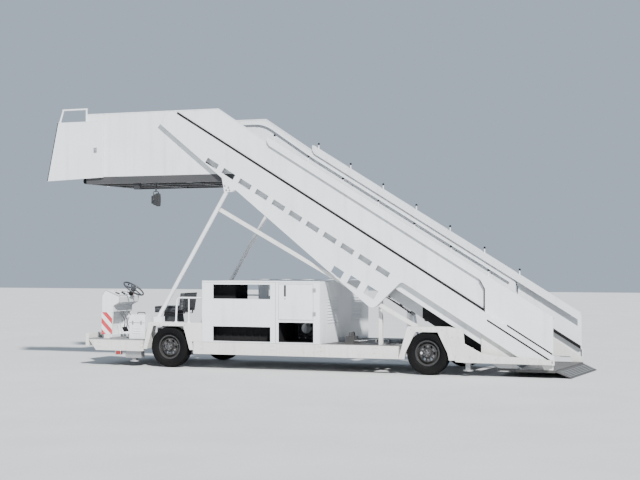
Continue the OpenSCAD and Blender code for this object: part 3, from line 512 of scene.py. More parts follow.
# wheels
tyreShape = {"radius": 0.34, "half": 0.098, "crown": 0.011, "blocks": 48, "perBlock": 6, "depth": 0.009,
        "grooves": (-0.058, -0.02, 0.02, 0.058), "groove": 0.0045, "wallAt": (0.0, 0.12, 0.35, 0.6, 0.8, 1.0),
        "wallY": (0.098, 0.109, 0.115, 0.111, 0.097, 0.084),
        "wallR": (0.329, 0.312, 0.276, 0.238, 0.214, 0.2), "rings": ((0.3, 0.003), (0.236, 0.004)),
        "ringOut": 0.0018}
hubShape = {"nutCircle": 0.1, "nutFace": 0.061, "capFace": 0.112, "capCircle": 0.045}


def tyrePart():
    # across the tread the radius falls off as the fourth power towards the shoulders; the walls follow a few
    # control points and carry two rings; grooves sink the tread, its blocks offset from one side to the other
    s = tyreShape
    y = np.linspace(-s["half"], s["half"], 57)
    tread = np.column_stack([y, s["radius"] - s["crown"] * (y / s["half"]) ** 4])
    run = np.linspace(0, 1, 22)[1:]
    wallY, wallR = (np.interp(run, s["wallAt"], s[key]) for key in ("wallY", "wallR"))
    wallY = wallY + s["ringOut"] * sum(np.exp(-((wallR - at) / width) ** 2) for at, width in s["rings"])
    profile = np.concatenate([tread, np.column_stack([wallY, wallR]), np.column_stack([-wallY, wallR])[::-1]])
    around = s["blocks"] * s["perBlock"]
    turn = np.arange(around)[:, None]
    across, radius = (np.tile(profile[:, k], (around, 1)) for k in (0, 1))
    onTread = (np.abs(across) <= s["half"]) & (radius > 0.32)
    ring = np.min([np.abs(across - g) for g in s["grooves"]], axis=0) < s["groove"]
    stagger = np.where(across > 0.02, 3, np.where(across < -0.02, 1, 5))
    cut = ((turn + stagger + np.round(across * 40).astype(int)) % s["perBlock"]) == 0
    radius = radius - s["depth"] * (onTread & (ring | (cut & (np.abs(across) > 0.006))))
    angle = turn * 2 * math.pi / around
    points = np.stack([radius * np.cos(angle), across, radius * np.sin(angle)], -1).reshape(-1, 3)
    return points, [gridQuads(around, len(profile), True, True)]


def hubPart(side):
    # nuts on their studs between the hand holes, the hub cap with its bolts, and the valve
    h, out = hubShape, np.array([0, side, 0])
    spots = np.radians(np.arange(30, 390, 60))
    ring = np.stack([np.cos(spots), np.zeros(6), np.sin(spots)], -1)
    seats = ring * h["nutCircle"] + out * h["nutFace"]
    studs = repeat(lathe([(0, 6), (26, 6), (28, 4)], axis=out, around=10), seats)
    bolts = hexHeads(ring * h["capCircle"] + out * h["capFace"], out, 6, 5)
    cap = lathe([(0, 30), (6, 30), (10, 24), (11, 6)], out * (h["capFace"] - 0.001), out, 28)
    valve = bentTube([(0.165, side * 0.025, 0.04), (0.16, side * 0.06, 0.04), (0.15, side * 0.085, 0.04)],
            0.012, 0.004, (0, 0, 1), 8)
    return joinParts(hexHeads(seats, out, 14, 16), studs, bolts, cap, valve)


def makeWheels():
    tyre = tyrePart()
    for end, x in (("front", frontAxle), ("rear", rearAxle)):
        for side, hand in zip(sides, ("left", "right")):
            centre, wheel = np.array([x, side * wheelY, axleHeight]), f"_{end}_{hand}"
            piece = putMesh("tyreTread" + wheel, "tyre", moved(tyre, centre), body="wheel" + wheel, smooth=30)
            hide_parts("tyre" + wheel)
            putMesh("hubFittings" + wheel, "hubSteel", moved(hubPart(side), centre), body="wheel" + wheel)


makeWheels()
print("wheels dressed")


# steps: nosing, grit strips and edge fixings
nosingShape = {"back": 0.05, "lip": 0.0025, "thick": 0.004, "drop": 0.028, "strip": 0.024, "gap": 0.044,
               "skin": 0.0003, "edge": 0.03, "lowerHalf": 0.79}


def makeSteps():
    back, lip, thick, drop, strip, gap, skin, inset, lowerHalf = nosingShape.values()
    up = [(deckEdge + k * going, 0, deckTop - k * rise) for k in range(1, upperSteps + 1)]
    low = [(footRiser - j * going, 0, j * rise) for j in range(1, lowerSteps + 1)]
    for name, spots, half, body in (("upper", up, walkY - 0.012, "upper_flight"),
            ("lower", low, lowerHalf, "chassis")):
        nosing = prism([(-back, 0), (-back, thick), (lip, thick), (lip, -drop), (skin, -drop), (skin, 0)],
                       -half, half)
        strips = [box((x - strip, inset - half, 0), (x, half - inset, thick / 2))
                  for x in -back - 0.02 - np.arange(4) * gap]
        ends = half - 2 * inset
        screws = [(x - inset, y, z + thick) for x, _, z in spots for y in np.linspace(-ends, ends, 5)]
        putMesh(name + "Nosings", "alloy", repeat(nosing, spots), body=body, bevel=0.001)
        putMesh(name + "GritStrips", "rubber", repeat(joinParts(*strips), spots), body=body)
        putMesh(name + "NosingScrews", "chrome", rivetHeads(screws, 5, (0, 0, 1)), body=body)


makeSteps()
print("steps dressed")


# balustrades: caps on the sheet edges, slim inner rails, stanchion knobs
railShape = {"tube": 0.013, "y": 0.926, "deck": deckTop + 0.98, "slope": 0.6, "cap": 0.012, "proud": 0.003,
             "sheetTop": 1.08, "sheetLine": 0.715, "knobs": 7, "knobPitch": 0.7, "knobLine": 0.801}


def makeBalustrades():
    r, flight = railShape, {"body": "upper_flight"}
    top, slope, y, high = deckTop + r["sheetTop"], r["sheetLine"], r["y"], r["deck"]
    slopeTop = [lineAt(deckEdge + 0.56, slope)[[0, 2]], lineAt(sideEnd - 0.06, slope)[[0, 2]]]
    caps = []
    for outline in ([(deckStart, top), (deckJoint - 0.001, top)], [(deckJoint, top), (deckEdge - 0.33, top),
            *slopeTop]):
        # a folded strip over the top edge of a sheet, following its outline
        lower, upper = np.array(outline) - (0, r["cap"]), np.array(outline) + (0, r["proud"])
        caps.append(prism(np.concatenate([upper, lower[::-1]]), walkY - r["proud"], panelY + r["proud"]))
    putBoth("sheetCaps", "white", *caps, **flight, bevel=0.001)
    putBoth("innerRails", "chrome", bentTube([
        (deckStart + 0.06, y, high), (deckEdge - 0.36, y, high), lineAt(deckEdge + 0.5, r["slope"], y),
        lineAt(sideEnd - 0.1, r["slope"], y)], 0.18, r["tube"]), **flight)
    spots = [(x, y, high) for x in np.linspace(deckStart + 0.2, deckEdge - 0.5, 4)]
    spots += [lineAt(x, r["slope"], y) for x in np.linspace(deckEdge + 0.7, sideEnd - 0.4, 6)]
    clip = joinParts(lathe([(0, 6), (12, 6)], (0, 0.002, -0.02), around=12),
                     box((-0.012, 0.008, -0.04), (0.012, 0.0138, 0.01)))
    putBoth("railClips", "alloy", repeat(clip, spots), **flight, bevel=0.001)
    # the first stanchion stands a little down the slope from the handrail's upper end
    head = lineAt(rearAxle - 2.75, r["knobLine"])
    start = (head[0] - deckEdge) * math.cos(slopeAngle) - (head[2] - deckTop) * math.sin(slopeAngle) + 0.12
    knobs = [np.array([deckEdge + 0.008, 0.948, deckTop + 0.07]) + r["knobLine"] * offSlope
             + (start + i * r["knobPitch"]) * downSlope for i in range(r["knobs"])]
    knob = lathe([(-4, 16), (6, 19), (20, 17), (28, 10), (30, 2)], axis=(0, 0, 1), around=18)
    putBoth("stanchionKnobs", "rubber", repeat(knob, knobs))


makeBalustrades()
print("balustrades dressed")


# fixed trusses: black strips that paint the shadow lines in the gaps along the band and beside the end
# panels, rivets and bolts
trussShape = {"head": -2.13, "rivetPitch": 0.18, "strutFoot": 3.43, "strutLean": 39, "edgeShadowStrip": ((3.2545, 0.31),
        (3.2545, 0.607), (3.176, 0.686), (3.168, 0.677), (3.2425, 0.600), (3.2425, 0.31))}


def makeTrussFittings():
    t, foot, face = trussShape, footEnd - 0.03, trussY
    # black strips painting the shadow lines of the open gaps along the band
    shadowStrips = [stripPart(t["head"] + 0.08, foot, 0.292, 0.340, 0.9788, 0.9943),
             stripPart(rearAxle + 1.25, foot, 0.308, 0.330, 1.0083, 1.0105),
             stripPart(rearAxle + 0.95, foot - 0.02, 0.214, 0.238, face, face + 0.003)]
    # a black strip painting the shadow line along the end panels' upright edge and its slanted corner
    edgeShadowStrip = prism([lineAt(x, n) for x, n in t["edgeShadowStrip"]], 0.9955, 1.0085)
    putBoth("bandShadowStrips", "rubber", *shadowStrips, edgeShadowStrip)
    spots = [lineAt(x, n, face) for n, start, end in ((0.285, 0.2, 0.1), (0.025, 0.9, 0.5))
             for x in np.arange(t["head"] + start, foot - end, t["rivetPitch"])]
    putBoth("bandRivets", "white", rivetHeads(spots))
    lean = math.tan(math.radians(t["strutLean"]))
    x, z = rearAxle - t["strutFoot"], 1.0 + (t["strutFoot"] - 0.91) * lean - 0.07
    heads = [(x + dx, 1.055, z + dz) for dx, dz in ((-0.03, -0.04), (0.03, -0.045), (-0.06, 0.03),
            (0.01, 0.0))]
    pads = [(frontAxle - 0.3 + dx, y, archTop + 0.09) for dx in (0.02, 0.14) for y in (0.985, 1.055)]
    putBoth("strutBolts", "alloy", hexHeads(heads), hexHeads(pads, (0, 0, 1), 10, 8))


makeTrussFittings()
print("trusses dressed")


# chassis: bolts through the sills and arches, edge beads, spring fittings
chassisShape = {"crossRows": (-3.46, -2.65, -1.53, -0.25, 0.57, 1.505),
        "archBolts": ((frontAxle, 0.31, 5), (rearAxle, 0.25, 4)), "rearBolts": ((0.42, 0.6), (0.52, 0.6),
        (0.48, 0.3), (0.7, 0.3), (1.1, 0.27), (1.6, 0.26)), "beads": ((-3.66, -2.63), (-1.67, 1.88)),
        "leaves": 4, "leafY": (0.5945, 0.6595)}


def makeChassisFittings():
    c, face = chassisShape, sillY
    spots = [(x + dx, face, z) for x in c["crossRows"] for dx in (-0.018, 0.018) for z in (0.33, 0.4)]
    spots += [(x + dx, face, 0.71) for x, reach, count in c["archBolts"]
            for dx in np.linspace(-reach, reach, count)]
    spots += [(rearAxle + dx, face, z) for dx, z in c["rearBolts"]]
    putBoth("sillBolts", "cream", hexHeads(spots, (0, 1, 0), 9, 7))
    # rolled beads along the sills' top edges
    y, z = face - 0.004, railTop - 0.004
    putBoth("sillBeads", "cream", *[tubeAlong([(x0, y, z), (x1, y, z)], 0.006, (0, 1, 0), 8)
            for x0, x1 in c["beads"]])
    # leaf ends and clamps round each spring pack
    leaves, clamps, t = [], [], np.linspace(-1, 1, 15)
    for x in (frontAxle, rearAxle):
        for layer in range(c["leaves"]):
            reach = 0.36 - layer * 0.07
            z = 0.425 - layer * 0.0095 + 0.018 * (t * reach / 0.4) ** 2
            outline = np.concatenate([np.column_stack([x + t * reach, z]),
                    np.column_stack([x + t * reach, z + 0.0075])[::-1]])
            leaves.append(prism(outline, *c["leafY"]))
        clamps += [bentTube([(x + dx, 0.589, 0.30), (x + dx, 0.589, 0.455), (x + dx, 0.665, 0.455),
                (x + dx, 0.665, 0.30)], 0.012, 0.008, (1, 0, 0), 10, 5) for dx in (-0.075, 0.075)]
    putBoth("springLeaves", "dark", *leaves)
    putBoth("springClamps", "alloy", *clamps)


makeChassisFittings()
print("chassis dressed")


# cabinet: handle, hinges, louvres, seams, machinery behind the bays
cabinetShape = {"handle": (-0.031, 1.206, 1.371), "hingeX": 0.448, "louvre": (-0.04, 0.35, 0.90, 1.30),
        "pitch": 0.048, "shroud": (-0.17, 0.53, -1.08, -0.37, 0.461, 0.80),
        "bay": (-1.40, -0.22, 0.4605, 0.98), "tank": (-1.46, -1.0, 0.985, 1.405), "doorSeam": -0.198,
        "sheet": 0.004}


def louvrePart(half, deep=0.009, tall=0.026):
    # a pressed hood: its section rises along a quarter sine, and it thins towards its ends
    u, v = np.linspace(-1, 1, 17), np.linspace(0, 1, 7)
    rows, cols = len(u), len(v)
    x = np.repeat(u[:, None] * half, cols, 1)
    z = (v - 0.5)[None] * tall * np.ones_like(x)
    out = deep * np.sin(v * math.pi / 2)[None] * np.sqrt(np.clip(1 - u ** 8, 0, 1))[:, None]
    front = np.stack([x, out, -z], -1).reshape(-1, 3)
    back = front * (1, 0, 1) - (0, 0.001, 0)
    grid = gridQuads(rows, cols)
    rim = np.concatenate([np.arange(cols), np.arange(1, rows) * cols + cols - 1,
                          rows * cols - 2 - np.arange(cols - 1), np.arange(rows - 2, 0, -1) * cols])
    wall = np.stack([rim, np.roll(rim, -1), np.roll(rim, -1) + rows * cols, rim + rows * cols], -1)
    return np.concatenate([front, back]), [grid, grid[:, ::-1] + rows * cols, wall]


def makeDoorFittings():
    c, y = cabinetShape, -sillY
    x, z0, z1 = c["handle"]
    plate = box((x - 0.018, y - 0.002, z0 - 0.01), (x + 0.018, y, z1 + 0.01))
    grip = bentTube([(x, y, z0 + 0.01), (x, y - 0.009, z0 + 0.014), (x, y - 0.009, z1 - 0.014),
            (x, y, z1 - 0.01)], 0.005, 0.005, (1, 0, 0), 12, 5)
    putMesh("doorHandle", "dark", plate, grip, body="cabinet_door", bevel=0.0008)
    putMesh("doorLock", "chrome", lathe([(0, 12), (4, 12), (5, 9), (5, 1)], (x + 0.002, y, z0 - 0.045),
            (0, -1, 0), 20), body="cabinet_door")
    knuckle = joinParts(lathe([(-35, 8), (35, 8)], axis=(0, 0, 1), around=16),
                        box((0.0, 0.001, -0.032), (0.045, 0.004, 0.032)),
                        *[lathe([(0, 4), (2, 3)], (0.03, 0.0005, z), (0, -1, 0), 10) for z in (-0.02, 0.02)])
    putMesh("doorHinges", "alloy", repeat(knuckle, [(c["hingeX"] + 0.012, y - 0.004, z)
            for z in (0.92, 1.3)]))


def makeCabinetWalls():
    front, rear, roof, side = cabinetFront, cabinetRear, cabinetTop, sillY
    # louvres on the right side and across the rear wall
    x0, x1, low, high = cabinetShape["louvre"]
    rows = np.arange(low, high, cabinetShape["pitch"])
    right = repeat(louvrePart((x1 - x0) / 2), [((x0 + x1) / 2, side, z) for z in rows])
    back = repeat(turned(louvrePart(0.26), (0, 0, 1), -90), [(rear, y, z) for y in (-0.55, 0.55)
            for z in rows - 0.12])
    putMesh("cabinetLouvres", "white", right, back, smooth=50)
    # rivets along the roof's edge and up the corners, and a drip channel
    spots = [(x, side, roof - 0.045) for x in np.arange(front + 0.06, rear - 0.02, 0.16)]
    spots += [(x, side, z) for x in (front + 0.04, rear - 0.04) for z in np.arange(0.55, 1.36, 0.16)]
    putBoth("cabinetRivets", "white", rivetHeads(spots, 5))
    putBoth("roofBeads", "white", box((front, side - 0.018, roof), (rear, side - 0.002, roof + 0.006)),
            bevel=0.002)


def makeBays():
    # dark linings and slats behind the lower bays, a tank behind the window, shields round the engine
    x0, x1, low, high = cabinetShape["bay"]
    back = 0.16 - sillY
    slats = [box((x, back - 0.012, 0.47), (x + 0.03, back, 0.97)) for x in np.arange(-1.34, -0.3, 0.13)]
    putBoth("bayLining", "rubber", box((x0, back, low), (x1, back + 0.02, high)),
            box((x0, 0.022 - sillY, low), (x1, back, low + 0.004)), *slats, bevel=0.002)
    x0, x1, low, high = cabinetShape["tank"]
    putMesh("bayTank", "rubber", box((x0, back + 0.025, low), (x1, -0.45, high)), bevel=0.006)
    (x0, x1, y0, y1, low, top), thick = cabinetShape["shroud"], cabinetShape["sheet"]
    putBoth("engineShields", "rubber", box((x0, y0, low), (x0 + thick, y1, top)),
            box((x1 - thick, y0, low), (x1, y1, top)), box((x0, y0, low), (x1, y1, low + thick)),
            box((x0 + thick, y1 - thick, low + thick), (-0.121, y1, top)))


def makeSeams():
    # dark joint lines where the panels meet, under the roof, and where the walls stand on the sills
    x, inner, outer, roof = cabinetShape["doorSeam"], sillY - 0.001, sillY + 0.0006, cabinetTop
    front, rear = cabinetFront + 0.003, cabinetRear - 0.003
    putBoth("cabinetSeams", "rubber", box((x - 0.002, inner, railTop + 0.002),
            (x + 0.002, outer, roof - 0.02)), box((front, inner, roof - 0.0215),
            (rear, outer, roof - 0.0185)), box((front, inner, railTop - 0.001),
            (rear, outer, railTop + 0.002)))


engineShape = {"face": -0.382, "pulleys": ((0.05, 0.66, 85), (0.24, 0.60, 62), (0.16, 0.86, 75)), "blades": 7}


def pulleyPart(x, z, radius):
    # a grooved wheel: its rim dips between two flanges
    return lathe([(0, 12), (4, radius * 0.4), (6, radius * 0.86), (0, radius), (7, radius),
            (12, radius * 0.88), (20, radius * 0.88), (25, radius), (31, radius), (28, radius * 0.8),
            (24, radius * 0.3), (34, 20), (34, 4)], (x, engineShape["face"] - 0.012, z), (0, -1, 0), 36)


def bladePart():
    # a fan blade: it widens outwards and its twist falls from 38 to 20 degrees
    t = np.linspace(0, 1, 6)
    twist, width = np.radians(38 - 18 * t), 0.028 + 0.02 * t
    lead = np.stack([np.cos(twist) * width, np.sin(twist) * width, 0.035 + 0.15 * t], -1)
    front = np.concatenate([lead, lead * (-1, -1, 1)])
    i = np.arange(5)
    skin = np.stack([i, i + 1, i + 7, i + 6], -1)
    rim = np.array([0, 1, 2, 3, 4, 5, 11, 10, 9, 8, 7, 6])
    wall = np.stack([rim, np.roll(rim, -1), np.roll(rim, -1) + 12, rim + 12], -1)
    return np.concatenate([front, front + (0, 0.003, 0)]), [skin, skin[:, ::-1] + 12, wall]


def makeEngine():
    e, y, blade = engineShape, engineShape["face"], bladePart()
    fan = [turned(blade, (0, 1, 0), k * 360 / e["blades"], (0.16, y - 0.065, 0.86))
            for k in range(e["blades"])]
    putMesh("enginePulleys", "alloy", *[pulleyPart(*pulley) for pulley in e["pulleys"]], *fan)
    bolts = [(x, y, z) for x in (-0.09, 0.02, 0.3, 0.41) for z in (0.5, 0.74, 1.05)]
    putMesh("engineBolts", "alloy", hexHeads(bolts, (0, -1, 0), 10, 9))
    # rigid pipes: exhaust down under the floor, coolant and fuel lines along the block, and the filter
    exhaust = bentTube([(0.33, -0.384, 0.95), (0.33, -0.46, 0.95), (0.33, -0.46, 0.60), (0.33, -0.62, 0.60),
                        (0.33, -0.62, 0.463)], 0.05, 0.026, (1, 0, 0), 18)
    coolant = bentTube([(-0.08, -0.384, 0.98), (-0.08, -0.43, 0.98), (-0.08, -0.43, 0.56), (0.1, -0.43, 0.52),
                        (0.1, -0.384, 0.52)], 0.03, 0.016, (0, 0.3, 1))
    fuel = bentTube([(-0.11, -0.384, 0.7), (-0.11, -0.40, 0.7), (0.43, -0.40, 0.68), (0.43, -0.384, 0.68)],
            0.01, 0.005, (0, 0, 1), 10, 5)
    oilFilter = lathe([(0, 34), (12, 38), (100, 38), (115, 30), (116, 4)], (-0.02, y, 0.80), (0, -1, 0), 28)
    putMesh("enginePipes", "dark", exhaust, coolant, fuel, oilFilter)


makeDoorFittings()
makeCabinetWalls()
makeBays()
makeSeams()
makeEngine()
print("cabinet and engine dressed")


# driver's place: dials, switches, levers, pedals, column sleeve
dashShape = {"low": (-3.27, 1.16), "high": (-3.55, 1.27), "dials": (-0.2, 0.0, 0.2), "dialRadius": 43,
        "switches": 7, "lamps": (-0.12, -0.06, 0.06, 0.12), "columnLean": 35,
        "column": (-3.19, driverY, 1.29)}


def onDash(t, y, lift=0.0):
    # a point on the slanted top of the console: t goes from its rear edge to its front edge
    low, high = np.array(dashShape["low"]), np.array(dashShape["high"])
    normal = np.array([low[1] - high[1], high[0] - low[0]]) / -np.linalg.norm(high - low)
    x, z = low + (high - low) * t + normal * lift
    return np.array([x, driverY + y, z])


def makeDash():
    d, r, across = dashShape, dashShape["dialRadius"], (0, 1, 0)
    up = onDash(0, 0, 1.0) - onDash(0, 0)
    tilt = math.degrees(math.atan2(up[0], up[2]))
    bezel = lathe([(0, r), (8, r), (11, r - 3), (11, r - 6), (4, r - 7), (3, 1)], axis=(0, 0, 1))
    tick = box((-0.0012, r * 0.00062, 0.0031), (0.0012, r * 0.00078, 0.0042))
    ticks = joinParts(*[turned(tick, (0, 0, 1), a) for a in np.arange(-135, 136, 30)])
    needle = turned(box((-0.001, -0.006, 0.0045), (0.001, r * 0.0006, 0.0058)), (0, 0, 1), 62)
    for name, look, part in (("dials", "gauge", bezel), ("dialMarks", "white", ticks),
            ("dialNeedles", "redLens", needle)):
        putMesh(name, look, *[turned(part, across, tilt, onDash(0.45, y)) for y in d["dials"]])
    rocker = prism([(-0.012, 0), (-0.012, 0.006), (0, 0.0035), (0.012, 0.009), (0.012, 0)], -0.008, 0.008)
    switch = turned(joinParts(rocker, box((-0.016, -0.011, 0), (0.016, 0.011, 0.002))), across, tilt)
    row = [onDash(0.16, y) for y in np.linspace(-0.26, 0.1, d["switches"])]
    putMesh("switches", "rubber", repeat(switch, row), bevel=0.0006)
    dome = lathe([(0, 8), (4, 8), (7, 5), (8, 1)], axis=up, around=16)
    putMesh("tellTales", "redLens", repeat(dome, [onDash(0.8, y) for y in d["lamps"]]))
    putMesh("stopButton", "redLens", lathe([(0, 16), (8, 16), (8, 21), (18, 22), (23, 16), (24, 2)],
                                           onDash(0.2, 0.2), up, 28))
    # levers on the console's right edge
    feet = [onDash(0.3 + 0.22 * k, 0.29) for k in range(3)]
    lean = np.array([0.02, 0.0, 0.11])
    putMesh("leverRods", "chrome", *[tubeAlong(np.linspace(p, p + lean, 3), 0.004, across, 10) for p in feet])
    knob = lathe([(-12, 4), (-6, 11), (4, 14), (14, 10), (18, 2)], axis=(0.18, 0, 0.98), around=18)
    putMesh("leverKnobs", "rubber", repeat(knob, [p + lean for p in feet]))


def makeConsoleFittings():
    # steering column sleeve with its stalk, and pedals on their arms
    mid, across, lean = driverY, (0, 1, 0), math.radians(dashShape["columnLean"])
    along, head = np.array([math.sin(lean), 0, math.cos(lean)]), np.array(dashShape["column"])
    sleeve = lathe([(-130, 29), (-110, 36), (-45, 40), (-30, 33), (-29, 26)], head, along, 28, True)
    root = head - along * 0.07
    stalk = bentTube([root + (0, 0.03, 0), root + (0, 0.09, 0.01), root + (0.01, 0.15, 0.03)], 0.02, 0.006,
            (1, 0, 0), 10)
    putMesh("columnSleeve", "rubber", sleeve, stalk)
    pad = turned(joinParts(box((-0.006, -0.035, -0.045), (0.006, 0.035, 0.045)),
            *[box((0.006, -0.032, z), (0.009, 0.032, z + 0.006)) for z in np.arange(-0.038, 0.036, 0.014)]),
            across, -28)
    pedals = [(-3.31, mid - 0.12), (-3.33, mid), (-3.29, mid + 0.12)]
    putMesh("pedalArms", "dark", *[bentTube([(x - 0.07, y, 0.90), (x + 0.02, y, 0.74), (x, y, 0.60)], 0.05,
            0.008, across, 10) for x, y in pedals])
    putMesh("pedalPads", "rubber", repeat(pad, [(x, y, 0.59) for x, y in pedals]), bevel=0.001)
    # console trim: a folded edge strip down each side, and screws on the front
    outline = [(-3.62, 1.18), (-3.55, 1.27), (-3.27, 1.16), (-3.29, 1.06), (-3.296, 1.062), (-3.277, 1.157),
               (-3.549, 1.263), (-3.614, 1.179)]
    putMesh("consoleTrim", "alloy", *[prism(outline, mid + s * 0.331 - 0.004, mid + s * 0.331 + 0.004)
            for s in sides])
    spots = [(-3.62, mid + y, z) for y in (-0.3, 0.3) for z in (0.52, 0.82, 1.12)]
    putMesh("consoleScrews", "alloy", rivetHeads(spots, 7, (-1, 0, 0)))


batteryShape = {"face": -1.06, "x": -2.77, "seam": (-2.917, -2.622, 0.728, 0.734),
        "handle": (-2.84, -2.70, -0.91)}


def makeBattery():
    # lid seam, hasps and vents on the battery box, and the handle on its lid
    b, face = batteryShape, batteryShape["face"]
    vents = repeat(turned(louvrePart(0.09, 0.006, 0.018), (0, 0, 1), 180), [(b["x"], face, z)
            for z in (0.56, 0.60, 0.64)])
    putMesh("batteryVents", "white", vents)
    x0, x1, z0, z1 = b["seam"]
    putMesh("batterySeam", "dark", box((x0, face - 0.002, z0), (x1, face, z1)))
    hasp = joinParts(box((-0.014, face - 0.006, 0.70), (0.014, face, 0.765)),
                     lathe([(0, 5), (6, 5)], (0, face - 0.006, 0.715), (0, -1, 0), 12))
    putMesh("batteryHasps", "alloy", repeat(hasp, [(x, 0, 0) for x in (-2.85, -2.69)]), bevel=0.001)
    x0, x1, y = b["handle"]
    putMesh("batteryHandle", "rubber", bentTube([(x0, y, 0.87), (x0, y, 0.90), (x1, y, 0.90), (x1, y, 0.87)],
            0.015, 0.007, around=12))


makeDash()
makeConsoleFittings()
makeBattery()
print("driver's place dressed")


# seat: two pads puffed up as cloth, with seams and piping
seatShape = {"voxel": 0.006, "inset": 0.007, "cap": 0.016, "seamDepth": 0.006, "seamWidth": 0.007,
        "channels": 3, "piping": 0.005, "pressure": 4.0, "frames": 20, "fill": 0.75}


def meshOf(obj):
    # the mesh that the modifiers give
    view = bpy.context.evaluated_depsgraph_get()
    view.update()
    return bpy.data.meshes.new_from_object(obj.evaluated_get(view))


def pointsOf(mesh):
    points = np.empty(len(mesh.vertices) * 3)
    mesh.vertices.foreach_get("co", points)
    return points.reshape(-1, 3)


def puffedMesh(name, part):
    # voxel remesh, then a pressure pass of twenty frames, each point's travel capped
    s, scene = seatShape, bpy.context.scene
    pad = linked(name + "Form", meshFrom(name, part))
    shell = pad.modifiers.new("shell", "REMESH")
    shell.mode, shell.voxel_size = "VOXEL", s["voxel"] * 1
    pad.data = meshOf(pad)
    pad.modifiers.clear()
    before = pointsOf(pad.data)
    cloth = pad.modifiers.new("cloth", "CLOTH")
    cloth.settings.use_pressure, cloth.settings.uniform_pressure_force = True, s["pressure"]
    cloth.settings.effector_weights.gravity = 0.0
    cloth.point_cache.frame_start, cloth.point_cache.frame_end = 1, s["frames"]
    for step in range(1, s["frames"] + 1):
        scene.frame_set(step)
    travel = pointsOf(meshOf(pad)) - before
    scene.frame_set(1)
    pad.modifiers.clear()
    length = np.linalg.norm(travel, axis=1, keepdims=True)
    before = before + travel * np.minimum(1.0, s["cap"] / np.maximum(length, 1e-9))
    mesh = pad.data
    bpy.data.objects.remove(pad)
    return mesh, before


def makePad(name, node, corners, across):
    # corners is the pad's outline in X and Z, across its two ends in Y; seams are pressed in after the
    # cloth pass
    s, outline = seatShape, np.asarray(corners, float)
    centre = outline.mean(0)
    inwards = centre - outline
    shrink = outline + inwards / np.linalg.norm(inwards, axis=1, keepdims=True) * s["inset"] * 1.4
    mesh, points = puffedMesh(name, prism(shrink, across[0] + s["inset"], across[1] - s["inset"]))
    low, high = (np.array([x, y, z]) for (x, z), y in ((outline.min(0), across[0]),
            (outline.max(0), across[1])))
    points = np.clip(points, low + 0.0005, high + 0.004)
    long = outline[1] - outline[0]
    reach = (points[:, [0, 2]] - outline[0]) @ long / (long @ long)
    cells = s["channels"]
    within = (reach * cells) % 1.0
    near = np.abs(within - np.where(within > 0.5, 1.0, 0.0)) / cells * np.linalg.norm(long)
    inner = (reach > 0.5 / cells) & (reach < 1 - 0.5 / cells)
    sink = s["seamDepth"] * np.exp(-(near / s["seamWidth"]) ** 2) * inner
    pull = np.array([centre[0], driverY, centre[1]]) - points
    pull /= np.linalg.norm(pull, axis=1, keepdims=True)
    mesh.vertices.foreach_set("co", (points + pull * sink[:, None]).ravel())
    mesh.update()
    faceOut(mesh)
    mesh.materials.clear()
    mesh.materials.append(finish["vinyl"])
    mesh.shade_smooth()
    pad = linked(name, mesh)
    relax = pad.modifiers.new("relax", "SMOOTH")
    relax.factor, relax.iterations = 0.5, 3
    finer = pad.modifiers.new("finer", "SUBSURF")
    finer.levels = finer.render_levels = 1
    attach(pad, "chassis")
    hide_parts(node)


def makeSeat():
    x, mid = seatX, driverY
    ends = (mid - 0.24, mid + 0.24)
    makePad("seatPad", "seat_cushion", [(x - 0.26, 1.0), (x + 0.2, 1.0), (x + 0.2, 0.8905),
            (x - 0.26, 0.8905)], ends)
    makePad("backPad", "seat_back", [(x + 0.2005, 0.92), (x + 0.248, 1.24), (x + 0.33, 1.24),
            (x + 0.28, 0.92)], ends)
    # piping round the cushion, a shell behind the back, and its two brackets
    y0, y1, z = ends[0] + 0.006, ends[1] - 0.006, 0.984
    loop = [(x, y0, z), (x - 0.25, y0, z), (x - 0.25, y1, z), (x + 0.19, y1, z), (x + 0.19, y0, z),
            (x - 0.002, y0, z)]
    putMesh("seatPiping", "rubber", bentTube(loop, 0.03, seatShape["piping"], (0, 0, 1), 10, 6))
    shell = prism([(x + 0.281, 0.925), (x + 0.329, 1.232), (x + 0.335, 1.231), (x + 0.287, 0.925)],
                  ends[0] + 0.012, ends[1] - 0.012)
    outline = [(x + 0.1, 0.875), (x + 0.284, 0.875), (x + 0.312, 1.04), (x + 0.302, 1.041),
            (x + 0.276, 0.884), (x + 0.1, 0.884)]
    brackets = [prism(outline, mid + s * 0.15 - 0.02, mid + s * 0.15 + 0.02) for s in sides]
    putMesh("seatShell", "dark", shell, *brackets, bevel=0.002)


makeSeat()
print("seat dressed")


# front corner: marker boards, lamps, grab rails, bumper fittings, boarding step
frontShape = {"board": (-3.427, -3.217, 0.53, 0.905), "lamp": (-3.15, -3.05, 0.19, 0.26),
        "lampY": (1.108, 1.114), "bumper": -3.73, "rail": 0.014, "railY": 1.085, "pin": (-3.77, 0.4)}


